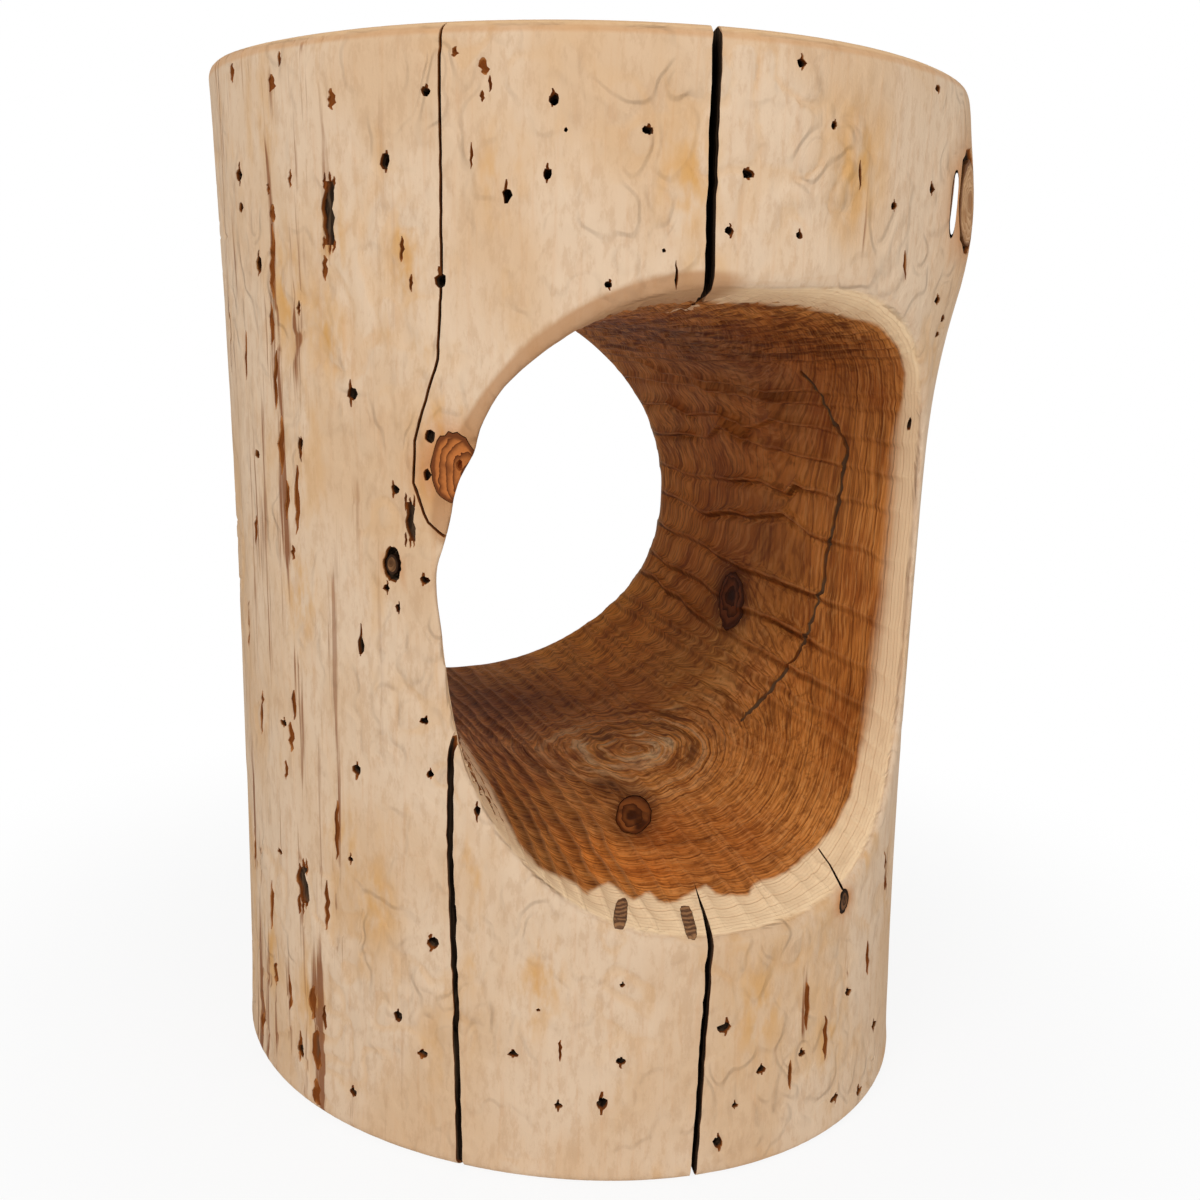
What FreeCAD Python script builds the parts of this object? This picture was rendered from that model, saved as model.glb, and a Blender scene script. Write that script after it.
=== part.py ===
import FreeCAD, Part
import math
import os

# A stump side table: a peeled log stood on end, with a hollow carved right through it.
# The frame stands on the base: +Z is up, the origin is the middle of the base, and the hollow runs
# from its front mouth at -Y to its back mouth at +Y. A turn is an angle in degrees round the log,
# from the front mouth towards +X. All lengths are in millimetres.

# The log
LOG_HEIGHT = 460.0
BASE_RADIUS = 171.0
WAIST_RADIUS = 167.5
TOP_RADIUS = 172.3
OVAL = 4.7            # the log is this much deeper, and narrower, than round
LOBE = 4.6            # three shallow lobes round the trunk
FOOT_SWEEP = 4.2      # the trunk curves this far sideways at its foot
EDGE_ROUND = 5.0      # sanded top and base edges
TRUNK_LAYERS = 8
SEAM_TURN = -100.0

# The swollen collar round the dead branch
COLLAR_SWELL = 10.0
COLLAR_TURN = 43.7
COLLAR_BELOW_TOP = 60.7
COLLAR_BREADTH = 25.6
COLLAR_REACH = 34.4

# The hollow, at the middle of the log, and how far each mouth opens out, or closes in, from that
HOLLOW_LEFT = 99.7
HOLLOW_RIGHT = 112.0
HOLLOW_FLOOR = 136.0
HOLLOW_CEILING = 358.0
FRONT_FLARE_LEFT = 6.0
FRONT_FLARE_RIGHT = 7.0
FRONT_FLOOR_DROP = 25.0
FRONT_CEILING_RISE = 12.0
BACK_FLARE_LEFT = 6.0
BACK_FLARE_RIGHT = -6.7
BACK_FLOOR_DROP = -0.8
BACK_CEILING_RISE = 11.8
SQUARE_LEFT = 2.48    # corner squareness: 2 is an ellipse, more is squarer
SQUARE_FRONT = 3.4
SQUARE_BACK = 2.05
LIP_ROUND = 4.0
HOLLOW_LAYERS = 5

# Drying checks: open cracks that taper towards the pith
WIDE_CHECK_MOUTH = 3.6
WIDE_CHECK_DEPTH = 58.0
LOWER_CHECK_MOUTH = 3.0
LOWER_CHECK_DEPTH = 36.0
FINE_CHECK_MOUTH = 1.7
FINE_CHECK_DEPTH = 9.0
WALL_CHECK_WIDTH = 1.6
WALL_CHECK_DEPTH = 6.0
WALL_CHECK_NEAR = 52.0
WALL_CHECK_FAR = 108.0
WALL_CHECK_RISE = 72.0
PITH_X = 32.0
PITH_Y = -21.0
WALL_CHECK_TURN = 57.5

# The checks' lines: turn, and rise from the lip knot, from the top or from the hollow's floor
FINE_CHECK_TOP = -39.2
FINE_CHECK_LINE = ((-39.3, 68.0), (-40.0, 39.0), (-43.4, 9.0), (-43.8, -8.0), (-42.0, -22.0), (-37.0, -32.0))
LIMB_CHECK_TOP = -83.0
LIMB_CHECK_LINE = ((-86.0, -70.0), (-89.0, -130.0))
WIDE_CHECK_TURNS = (-6.3, -5.0)
LEFT_CHECK_LINE = ((-33.0, 111.0), (-37.3, 63.0), (-38.5, 50.0), (-38.6, 9.0))
LEFT_CHECK_BASE = -37.0
RIGHT_CHECK_TURNS = (0.4, -3.25)

# Dead knots: each has a bark gap round it and lies flush with the wood
BARK_GAP = 0.3
BRANCH_KNOT_TURN = 41.0
BRANCH_KNOT_BELOW_TOP = 50.0
BRANCH_KNOT_WIDTH = 26.0
BRANCH_KNOT_TALL = 35.0
BRANCH_KNOT_DEPTH = 34.0
BRANCH_KNOT_RISE = 8.0
BRANCH_POCKET_WIDTH = 32.0
BRANCH_POCKET_TALL = 46.0
BRANCH_POCKET_DEPTH = 7.0
DAYLIGHT_GAP = 2.6
DAYLIGHT_TALL = 27.0
DAYLIGHT_TURN = 143.0
DAYLIGHT_RISE = 5.5
DAYLIGHT_INSET = 7.3
DAYLIGHT_LENGTH = 96.0

LIP_KNOT_TURN = -37.8
LIP_KNOT_RISE = 54.0
LIP_KNOT_WIDTH = 18.0
LIP_KNOT_TALL = 27.0
LIP_KNOT_DEPTH = 30.0

SIDE_KNOT_TURN = -47.3
SIDE_KNOT_RISE = 14.0
SIDE_KNOT_WIDTH = 5.5
SIDE_KNOT_TALL = 8.0
SIDE_KNOT_DEPTH = 13.0
SIDE_POCKET_WIDTH = 9.0
SIDE_POCKET_TALL = 15.0
SIDE_POCKET_DEPTH = 6.0

WALL_KNOT_ALONG = 32.0
WALL_KNOT_DROP = 41.0
WALL_KNOT_WIDTH = 22.0
WALL_KNOT_TALL = 26.0
WALL_KNOT_DEPTH = 30.0
WALL_KNOT_TILT = 12.0

FLOOR_KNOT_X = 2.0
FLOOR_KNOT_Y = -82.0
FLOOR_KNOT_WIDTH = 16.0
FLOOR_KNOT_DEPTH = 52.0
FLOOR_KNOT_RISE = 20.0

PIN_KNOT_TURN = 22.1
PIN_KNOT_DROP = 8.0   # below the corner of the lower lip
PIN_KNOT_WIDTH = 6.0
PIN_KNOT_TALL = 11.0
PIN_KNOT_DEPTH = 16.0

# Packed borer galleries, laid open along the lower lip
PLUG_TURNS = (-13.5, -3.2)
PLUG_INSET = 11.0     # their middles, in from the corner of the lip
PLUG_WIDTH = 5.5
PLUG_LENGTH = 18.0
PLUG_DEPTH = 6.0
PLUG_TILT = 75.0

KNOT_TAPER = 0.75     # a knot's buried end, as a share of its showing end
KNOT_PROUD = 40.0     # pegs are drawn this far out of the wood, so that a slanted one is cut flush all round
OVERSHOOT = 12.0      # other cutters reach this far out of the wood
SECTION_POINTS = 28
PEG_POINTS = 12

HOLLOW_MIDDLE = (HOLLOW_FLOOR + HOLLOW_CEILING) / 2
MOUTH = WAIST_RADIUS + OVAL


def trunk_radius(height):
    """Radius of the plain trunk: a smooth curve through the base, waist and top radii."""
    up = height / LOG_HEIGHT
    base = BASE_RADIUS * (1 - up) * (1 - 2 * up)
    waist = WAIST_RADIUS * 4 * up * (1 - up)
    top = TOP_RADIUS * up * (2 * up - 1)
    return base + waist + top


def log_radius(turn, height):
    """Radius of the log at a turn and height, with its oval, its lobes and the branch collar."""
    angle = math.radians(turn)
    trunk = trunk_radius(height) + OVAL * math.cos(2 * angle) + LOBE * math.sin(3 * angle)
    aside = (turn - COLLAR_TURN + 180) % 360 - 180
    across = math.radians(aside) * TOP_RADIUS / COLLAR_BREADTH
    along = (height - (LOG_HEIGHT - COLLAR_BELOW_TOP)) / COLLAR_REACH
    return trunk + COLLAR_SWELL * math.exp(-(across ** 2 + along ** 2) / 2)


def outward(turn, rise=0.0):
    """Unit direction that points out of the log at a turn, tilted up by a rise in degrees."""
    level = math.cos(math.radians(rise))
    angle = math.radians(turn)
    return FreeCAD.Vector(math.sin(angle) * level, -math.cos(angle) * level,
                          math.sin(math.radians(rise)))


def log_point(turn, height, inset=0.0):
    """Point on the log's surface, or that far below it."""
    sweep = FOOT_SWEEP * (1 - height / LOG_HEIGHT) ** 2
    point = outward(turn) * (log_radius(turn, height) - inset)
    return point + FreeCAD.Vector(sweep, 0, height)


def pith_turn(point):
    """Turn in which a point lies as seen from the pith: checks and knots grow along that line."""
    return math.degrees(math.atan2(point.x - PITH_X, PITH_Y - point.y))


def smooth_ring(points):
    """Closed smooth wire through the points."""
    curve = Part.BSplineCurve()
    curve.interpolate(Points=points, PeriodicFlag=True)
    return Part.Wire([curve.toShape()])


def plain_log():
    """The trunk, sawn square at both ends, with its edges sanded round."""
    rings = []
    for layer in range(TRUNK_LAYERS + 1):
        height = LOG_HEIGHT * layer / TRUNK_LAYERS
        turns = [SEAM_TURN + 360 * step / SECTION_POINTS for step in range(SECTION_POINTS)]
        rings.append(smooth_ring([log_point(turn, height) for turn in turns]))
    trunk = Part.makeLoft(rings, True, False)
    ends = []
    for edge in trunk.Edges:
        box = edge.BoundBox
        if box.ZLength < EDGE_ROUND:
            ends.append(edge)
    return trunk.makeFillet(EDGE_ROUND, ends)


def hollow_size(along):
    """Left, right, floor, ceiling and right-hand squareness of the hollow at a depth along Y."""
    opening = (along / MOUTH) ** 2
    if along < 0:
        flares = (FRONT_FLARE_LEFT, FRONT_FLARE_RIGHT, FRONT_FLOOR_DROP, FRONT_CEILING_RISE)
    else:
        flares = (BACK_FLARE_LEFT, BACK_FLARE_RIGHT, BACK_FLOOR_DROP, BACK_CEILING_RISE)
    left = HOLLOW_LEFT + flares[0] * opening
    right = HOLLOW_RIGHT + flares[1] * opening
    floor = HOLLOW_FLOOR - flares[2] * opening
    ceiling = HOLLOW_CEILING + flares[3] * opening
    forward = (1 - along / MOUTH) / 2
    square = SQUARE_BACK + (SQUARE_FRONT - SQUARE_BACK) * forward
    return left, right, floor, ceiling, square


def hollow_point(along, angle, grow=0.0):
    """Point on the hollow's section: a rounded outline, squarer on its right-hand side."""
    left, right, floor, ceiling, square_right = hollow_size(along)
    across = math.cos(angle)
    up = math.sin(angle)
    width = right if across > 0 else left
    square = square_right if across > 0 else SQUARE_LEFT
    half_height = (ceiling - floor) / 2
    reach = (abs(across / width) ** square + abs(up / half_height) ** square) ** (-1 / square) + grow
    return FreeCAD.Vector(reach * across, along, (floor + ceiling) / 2 + reach * up)


def hollow_core(grow=0.0):
    """The space that was carved out, run past both mouths."""
    reach = max(TOP_RADIUS, BASE_RADIUS) + OVAL + COLLAR_SWELL + OVERSHOOT
    rings = []
    for layer in range(HOLLOW_LAYERS):
        along = reach * (2 * layer / (HOLLOW_LAYERS - 1) - 1)
        angles = [math.pi + 2 * math.pi * turn / SECTION_POINTS for turn in range(SECTION_POINTS)]
        rings.append(smooth_ring([hollow_point(along, angle, grow) for angle in angles]))
    return Part.makeLoft(rings, True, False)


def hollowed_log():
    """The log with the hollow cut through it and both lips rounded over."""
    core = hollow_core()
    body = plain_log().cut(core)
    lips = []
    for edge in body.Edges:
        box = edge.BoundBox
        if box.ZLength > (HOLLOW_CEILING - HOLLOW_FLOOR) / 2 and box.XLength > HOLLOW_RIGHT:
            lips.append(edge)
    return body.makeFillet(LIP_ROUND, lips)


def check_wedge(line, mouth, depth):
    """Open crack along a line of turns and heights, wide at the bark and closed towards the pith."""
    slices = []
    for turn, height in line:
        bark = log_point(turn, height)
        radial = pith_turn(bark)
        apex = bark - outward(radial) * depth
        outer = bark + outward(radial) * OVERSHOOT
        side = outward(radial + 90) * (mouth / 2 * (depth + OVERSHOOT) / depth)
        slices.append(Part.makePolygon([apex, outer + side, outer - side, apex]))
    return Part.makeLoft(slices, True, True)


def checks():
    """The four checks that meet the hollow, and the fine one on the left limb."""
    over_top = LOG_HEIGHT + OVERSHOOT
    knot = HOLLOW_MIDDLE + LIP_KNOT_RISE
    under_base = -OVERSHOOT
    fine = [(FINE_CHECK_TOP, over_top)] + [(turn, knot + rise) for turn, rise in FINE_CHECK_LINE]
    limb = [(LIMB_CHECK_TOP, over_top)] + [(turn, LOG_HEIGHT + rise) for turn, rise in LIMB_CHECK_LINE]
    wide = list(zip(WIDE_CHECK_TURNS, (over_top, HOLLOW_MIDDLE)))
    left = [(turn, HOLLOW_FLOOR + rise) for turn, rise in LEFT_CHECK_LINE] + [(LEFT_CHECK_BASE, under_base)]
    right = list(zip(RIGHT_CHECK_TURNS, (HOLLOW_MIDDLE, under_base)))
    return [check_wedge(fine, FINE_CHECK_MOUTH, FINE_CHECK_DEPTH),
            check_wedge(limb, FINE_CHECK_MOUTH, FINE_CHECK_DEPTH),
            check_wedge(wide, WIDE_CHECK_MOUTH, WIDE_CHECK_DEPTH),
            check_wedge(left, LOWER_CHECK_MOUTH, LOWER_CHECK_DEPTH),
            check_wedge(right, LOWER_CHECK_MOUTH, LOWER_CHECK_DEPTH)]


def wall_check():
    """Shallow radial check that climbs from the floor up the right-hand wall of the hollow."""
    length = WALL_CHECK_FAR - WALL_CHECK_NEAR
    tall = HOLLOW_MIDDLE + WALL_CHECK_RISE
    slab = Part.makeBox(length, WALL_CHECK_WIDTH, tall,
                        FreeCAD.Vector(WALL_CHECK_NEAR, -WALL_CHECK_WIDTH / 2, 0))
    slab.rotate(FreeCAD.Vector(0, 0, 0), FreeCAD.Vector(0, 0, 1), WALL_CHECK_TURN - 90)
    slab.translate(FreeCAD.Vector(PITH_X, PITH_Y, 0))
    return slab.common(hollow_core(WALL_CHECK_DEPTH))


def peg(center, axis, depth, width, tall, grow=0.0, taper=KNOT_TAPER):
    """Tapered oval peg: its buried end lies at the depth below the centre, its other end is proud."""
    sideways = axis.cross(FreeCAD.Vector(0, 0, 1)).normalize()
    upright = sideways.cross(axis).normalize()
    growth = (1 - taper) / depth
    ends = []
    for place in (-depth, KNOT_PROUD):
        size = 1 + growth * place
        points = []
        for step in range(PEG_POINTS):
            angle = 2 * math.pi * step / PEG_POINTS
            across = sideways * (math.cos(angle) * (width / 2 * size + grow))
            up = upright * (math.sin(angle) * (tall / 2 * size + grow))
            points.append(center + axis * place + across + up)
        ends.append(smooth_ring(points))
    return Part.makeLoft(ends, True, True)


def floor_height(x, y):
    """Height of the hollow's floor above a point of the base."""
    left, right, floor, ceiling, square_right = hollow_size(y)
    width = right if x > 0 else left
    square = square_right if x > 0 else SQUARE_LEFT
    half_height = (ceiling - floor) / 2
    return floor + half_height * (1 - (1 - abs(x / width) ** square) ** (1 / square))


def lip_point(turn, inset=0.0):
    """Point on the lower lip of the front mouth, at its corner or in from it."""
    spot = log_point(turn, HOLLOW_FLOOR - FRONT_FLOOR_DROP, inset)
    spot.z = floor_height(spot.x, spot.y)
    return spot


def daylight_slot(center):
    """Gap left by rotted bark behind the branch knot, open at both ends."""
    corner = FreeCAD.Vector(-DAYLIGHT_LENGTH / 2, -DAYLIGHT_GAP / 2, -DAYLIGHT_TALL / 2)
    slot = Part.makeBox(DAYLIGHT_LENGTH, DAYLIGHT_GAP, DAYLIGHT_TALL, corner)
    slot.rotate(FreeCAD.Vector(0, 0, 0), FreeCAD.Vector(0, 1, 0), -DAYLIGHT_RISE)
    slot.rotate(FreeCAD.Vector(0, 0, 0), FreeCAD.Vector(0, 0, 1), DAYLIGHT_TURN - 90)
    slot.translate(center)
    return slot


def knots():
    """For each knot: where it shows, which way it points out of the wood, and its sizes."""
    branch = log_point(BRANCH_KNOT_TURN, LOG_HEIGHT - BRANCH_KNOT_BELOW_TOP)
    lip = log_point(LIP_KNOT_TURN, HOLLOW_MIDDLE + LIP_KNOT_RISE)
    side = log_point(SIDE_KNOT_TURN, HOLLOW_MIDDLE + SIDE_KNOT_RISE)
    wall = FreeCAD.Vector(HOLLOW_RIGHT, WALL_KNOT_ALONG, HOLLOW_MIDDLE - WALL_KNOT_DROP)
    floor = FreeCAD.Vector(FLOOR_KNOT_X, FLOOR_KNOT_Y, floor_height(FLOOR_KNOT_X, FLOOR_KNOT_Y))
    pin = log_point(PIN_KNOT_TURN, lip_point(PIN_KNOT_TURN).z - PIN_KNOT_DROP)
    return {
        "branch_knot": (branch, outward(BRANCH_KNOT_TURN, BRANCH_KNOT_RISE), BRANCH_KNOT_DEPTH,
                        BRANCH_KNOT_WIDTH, BRANCH_KNOT_TALL),
        "lip_knot": (lip, outward(LIP_KNOT_TURN), LIP_KNOT_DEPTH, LIP_KNOT_WIDTH, LIP_KNOT_TALL),
        "side_knot": (side, outward(SIDE_KNOT_TURN), SIDE_KNOT_DEPTH,
                      SIDE_KNOT_WIDTH, SIDE_KNOT_TALL),
        "wall_knot": (wall, outward(pith_turn(wall) + 180, -WALL_KNOT_TILT), WALL_KNOT_DEPTH,
                      WALL_KNOT_WIDTH, WALL_KNOT_TALL),
        "floor_knot": (floor, outward(pith_turn(floor), FLOOR_KNOT_RISE), FLOOR_KNOT_DEPTH,
                       FLOOR_KNOT_WIDTH, FLOOR_KNOT_WIDTH),
        "pin_knot": (pin, outward(pith_turn(pin)), PIN_KNOT_DEPTH, PIN_KNOT_WIDTH, PIN_KNOT_TALL),
    }


def plugs():
    """For each packed gallery: where it shows, which way it faces, and its sizes."""
    places = []
    for turn in PLUG_TURNS:
        spot = lip_point(turn, PLUG_INSET)
        places.append((spot, outward(pith_turn(spot), PLUG_TILT), PLUG_DEPTH, PLUG_WIDTH, PLUG_LENGTH))
    return places


def pockets(places):
    """Open bark pockets round the two knots that stand loose, and the daylight slot."""
    branch, branch_axis = places["branch_knot"][:2]
    side, side_axis = places["side_knot"][:2]
    behind = log_point(BRANCH_KNOT_TURN, LOG_HEIGHT - BRANCH_KNOT_BELOW_TOP, DAYLIGHT_INSET)
    return [peg(branch, branch_axis, BRANCH_POCKET_DEPTH, BRANCH_POCKET_WIDTH, BRANCH_POCKET_TALL),
            peg(side, side_axis, SIDE_POCKET_DEPTH, SIDE_POCKET_WIDTH, SIDE_POCKET_TALL),
            daylight_slot(behind)]


def main():
    whole = hollowed_log()
    places = knots()
    slot = pockets(places)[2]

    nodes = {}
    sockets = []
    for name, (center, axis, depth, width, tall) in places.items():
        knot = whole.common(peg(center, axis, depth, width, tall))
        nodes[name] = knot.cut(slot)
        sockets.append(peg(center, axis, depth, width, tall, BARK_GAP))

    packed = []
    for sizes in plugs():
        packed.append(whole.common(peg(*sizes)))
        sockets.append(peg(*sizes, BARK_GAP))
    nodes["gallery_plugs"] = Part.makeCompound(packed)

    body = whole
    for cutter in checks() + [wall_check()] + pockets(places) + sockets:
        body = body.cut(cutter)
    nodes["stump_body"] = body

    os.makedirs("parts", exist_ok=True)
    for name, shape in nodes.items():
        shape.exportStep("parts/" + name + ".step")
        print(name, len(shape.Solids), "solid", round(shape.Volume), "mm3", shape.isValid())


main()
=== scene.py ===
import math

import bmesh
import bpy
import numpy as np
from mathutils import Matrix, Vector
from mathutils.bvhtree import BVHTree


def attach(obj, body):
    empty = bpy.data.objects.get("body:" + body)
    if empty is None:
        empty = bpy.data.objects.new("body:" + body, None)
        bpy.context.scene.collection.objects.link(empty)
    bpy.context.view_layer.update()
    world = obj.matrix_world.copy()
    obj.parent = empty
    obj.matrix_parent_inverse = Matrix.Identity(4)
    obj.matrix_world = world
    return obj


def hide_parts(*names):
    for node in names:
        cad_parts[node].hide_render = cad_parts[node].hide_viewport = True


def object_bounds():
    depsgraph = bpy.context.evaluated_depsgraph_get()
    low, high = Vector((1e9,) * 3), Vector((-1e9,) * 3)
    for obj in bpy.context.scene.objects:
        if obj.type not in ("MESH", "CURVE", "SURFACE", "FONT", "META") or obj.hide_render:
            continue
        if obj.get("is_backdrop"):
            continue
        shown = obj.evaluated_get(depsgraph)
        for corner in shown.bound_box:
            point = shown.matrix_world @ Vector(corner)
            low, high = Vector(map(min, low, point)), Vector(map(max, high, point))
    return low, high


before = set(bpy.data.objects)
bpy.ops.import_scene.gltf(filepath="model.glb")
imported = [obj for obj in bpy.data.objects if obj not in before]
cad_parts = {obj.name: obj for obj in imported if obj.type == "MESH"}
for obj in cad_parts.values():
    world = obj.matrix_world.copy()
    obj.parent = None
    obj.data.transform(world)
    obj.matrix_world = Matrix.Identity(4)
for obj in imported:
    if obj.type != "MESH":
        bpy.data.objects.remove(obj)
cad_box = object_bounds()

# The viewpoint: from the left of the front mouth and a little below the top of the table.
# A mark that the photograph shows is placed by its pixel, so the sight line of a pixel is kept here.
SIGHT_FROM = np.array((-0.2265, -0.5901, 0.3563))
SIGHT_AHEAD = np.array((0.36961, 0.90376, -0.21589))
SIGHT_RIGHT = np.array((0.92767, -0.37217, 0.03026))
SIGHT_UP = np.array((0.05299, 0.21146, 0.97595))
PHOTO_SIDE = 1200
PHOTO_FOCUS = 1250
FILM = 36.0

camera_data = bpy.data.cameras.new("viewpoint")
camera_data.sensor_width = FILM
camera_data.lens = FILM * PHOTO_FOCUS / PHOTO_SIDE
camera = bpy.data.objects.new("viewpoint", camera_data)
bpy.context.scene.collection.objects.link(camera)
turned = Matrix((SIGHT_RIGHT, SIGHT_UP, -SIGHT_AHEAD)).transposed().to_quaternion()
camera.matrix_world = Matrix.Translation(Vector(SIGHT_FROM)) @ turned.to_matrix().to_4x4()
bpy.context.scene.camera = camera


def unit(way):
    """A way made one long."""
    return way / np.linalg.norm(way)


def sight(pixel):
    """Direction from the viewpoint through a pixel of the photograph."""
    across = (pixel[0] - PHOTO_SIDE / 2) / PHOTO_FOCUS
    down = (pixel[1] - PHOTO_SIDE / 2) / PHOTO_FOCUS
    way = SIGHT_AHEAD + SIGHT_RIGHT * across - SIGHT_UP * down
    return unit(way)


def shown_at(points):
    """Pixel of the photograph at which each point shows, and its distance ahead of the viewpoint."""
    away = points - SIGHT_FROM
    ahead = away @ SIGHT_AHEAD
    across = PHOTO_SIDE / 2 + PHOTO_FOCUS * (away @ SIGHT_RIGHT) / ahead
    down = PHOTO_SIDE / 2 - PHOTO_FOCUS * (away @ SIGHT_UP) / ahead
    return np.stack([across, down], 1), ahead


# The log: a peeled trunk of softwood, sawn square, stood on end and carved through from front to back.
# Its outside is the bare wood under the bark, its hollow is gouged along the tunnel, and the edges are
# sanded round. First comes its plain form, the same as the solid's.
LOG_HEIGHT = 0.460
BASE_RADIUS = 0.1710
WAIST_RADIUS = 0.1675
TOP_RADIUS = 0.1723
OVAL = 0.0047
LOBE = 0.0046
FOOT_SWEEP = 0.0042
EDGE_ROUND = 0.005
COLLAR_SWELL = 0.010
COLLAR_TURN = math.radians(43.7)
COLLAR_HEIGHT = LOG_HEIGHT - 0.0607
COLLAR_BREADTH = 0.0256
COLLAR_REACH = 0.0344
HOLLOW_LEFT = 0.0997
HOLLOW_RIGHT = 0.112
HOLLOW_FLOOR = 0.136
HOLLOW_CEILING = 0.358
HOLLOW_MIDDLE = (HOLLOW_FLOOR + HOLLOW_CEILING) / 2
FRONT_FLARES = (0.006, 0.007, 0.025, 0.012)
BACK_FLARES = (0.006, -0.0067, -0.0008, 0.0118)
SQUARE_LEFT = 2.48
SQUARE_FRONT = 3.4
SQUARE_BACK = 2.05
MOUTH = WAIST_RADIUS + OVAL
PITH = np.array((0.030, -0.016))
FINE_GRAIN = 0.0016
GRAIN = FINE_GRAIN


def log_radius(turn, height):
    """Radius of the log at a turn round it and a height."""
    up = height / LOG_HEIGHT
    trunk = BASE_RADIUS * (1 - up) * (1 - 2 * up) + WAIST_RADIUS * 4 * up * (1 - up)
    trunk = trunk + TOP_RADIUS * up * (2 * up - 1) + OVAL * np.cos(2 * turn) + LOBE * np.sin(3 * turn)
    aside = (turn - COLLAR_TURN + math.pi) % (2 * math.pi) - math.pi
    across = aside * TOP_RADIUS / COLLAR_BREADTH
    along = (height - COLLAR_HEIGHT) / COLLAR_REACH
    return trunk + COLLAR_SWELL * np.exp(-(across ** 2 + along ** 2) / 2)


def outward(turn, rise=0.0):
    """Direction out of the log at a turn, tilted up by a rise."""
    level = math.cos(rise)
    return np.array((math.sin(turn) * level, -math.cos(turn) * level, math.sin(rise)))


def log_point(turn, height, inset=0.0):
    """Point on the log's outside, or that far below it."""
    sweep = FOOT_SWEEP * (1 - height / LOG_HEIGHT) ** 2
    return outward(turn) * (log_radius(turn, height) - inset) + np.array((sweep, 0, height))


def round_log(points):
    """Turn of each point round the log, and how far it lies below the log's outside."""
    x = points[:, 0] - FOOT_SWEEP * (1 - points[:, 2] / LOG_HEIGHT) ** 2
    turn = np.arctan2(x, -points[:, 1])
    return turn, log_radius(turn, points[:, 2]) - np.hypot(x, points[:, 1])


def hollow_section(along):
    """Left, right, floor, ceiling and right-hand squareness of the hollow at a depth along Y."""
    opening = (along / MOUTH) ** 2
    left, right, drop, rise = [np.where(along < 0, f, b) * opening
                               for f, b in zip(FRONT_FLARES, BACK_FLARES)]
    square = SQUARE_BACK + (SQUARE_FRONT - SQUARE_BACK) * (1 - along / MOUTH) / 2
    return HOLLOW_LEFT + left, HOLLOW_RIGHT + right, HOLLOW_FLOOR - drop, HOLLOW_CEILING + rise, square


def hollow_reach(angle, along):
    """Distance from the middle of the hollow to its wall, at an angle in its section."""
    left, right, floor, ceiling, square = hollow_section(along)
    across = np.cos(angle)
    power = np.where(across > 0, square, SQUARE_LEFT)
    wide = np.abs(across / np.where(across > 0, right, left)) ** power
    tall = np.abs(np.sin(angle) / ((ceiling - floor) / 2)) ** power
    return (wide + tall) ** (-1 / power)


def hollow_height(along):
    """Height of the middle of the hollow at a depth along Y."""
    floor, ceiling = hollow_section(along)[2:4]
    return (floor + ceiling) / 2


def round_hollow(points):
    """Angle of each point in the hollow's section, and how far into the wood it lies."""
    up = points[:, 2] - hollow_height(points[:, 1])
    angle = np.arctan2(up, points[:, 0])
    return angle, np.hypot(points[:, 0], up) - hollow_reach(angle, points[:, 1])


def into_wood(points):
    """Direction from the middle of the hollow into its wall."""
    up = points[:, 2] - hollow_height(points[:, 1])
    way = np.stack([points[:, 0], np.zeros(len(points)), up], 1)
    return way / np.linalg.norm(way, axis=1)[:, None]


SIGHT_STEPS = np.arange(0.25, 1.1, 0.0001)


def touch(pixel):
    """Point of the log where the sight line of a pixel first meets wood."""
    path = SIGHT_FROM + SIGHT_STEPS[:, None] * sight(pixel)
    depth = np.minimum(round_log(path)[1], round_hollow(path)[1])
    solid = np.flatnonzero(depth > 0)
    return path[solid[0] if len(solid) else np.argmax(depth)]


SCATTER = np.array((73856093, 19349663, 83492791))
SCRAMBLES = ((13, 1274126177), (15, 668265263))
LARGEST = 0x7FFFFFFF


def drift(points, size, seed):
    """Smooth random field from -1 to 1 whose waves are about that size."""
    place = points / size
    cell = np.floor(place).astype(np.int64)
    part = place - cell
    part = part * part * (3 - 2 * part)
    total = np.zeros(len(points))
    for corner in np.ndindex(2, 2, 2):
        mixed = (cell + np.array(corner)) @ SCATTER + seed * 7919 + 1013
        for shift, factor in SCRAMBLES:
            mixed = ((mixed ^ (mixed >> shift)) * factor) & LARGEST
        weight = np.prod(np.where(corner, part, 1 - part), axis=1)
        total += weight * (mixed / (LARGEST // 2) - 1)
    return total


def eased(value, low, high):
    """0 below low, 1 above high, smooth between."""
    step = np.clip((value - low) / (high - low), 0, 1)
    return step * step * (3 - 2 * step)


def drawn_out(name, shapes):
    """Mesh of closed skins, each drawn out through its own rings of points."""
    shaper = bmesh.new()
    for rings in shapes:
        start = bmesh.ops.create_circle(shaper, cap_ends=True, segments=len(rings[0]), radius=1)
        face = start["verts"][0].link_faces[0]
        for number, ring in enumerate(rings):
            if number:
                made = bmesh.ops.extrude_face_region(shaper, geom=[face, *face.edges, *face.verts])
                face = next(item for item in made["geom"] if isinstance(item, bmesh.types.BMFace))
            for corner, point in zip(face.loops, ring):
                corner.vert.co = point
    bmesh.ops.recalc_face_normals(shaper, faces=shaper.faces)
    mesh = bpy.data.meshes.new(name)
    shaper.to_mesh(mesh)
    shaper.free()
    return mesh


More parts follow.
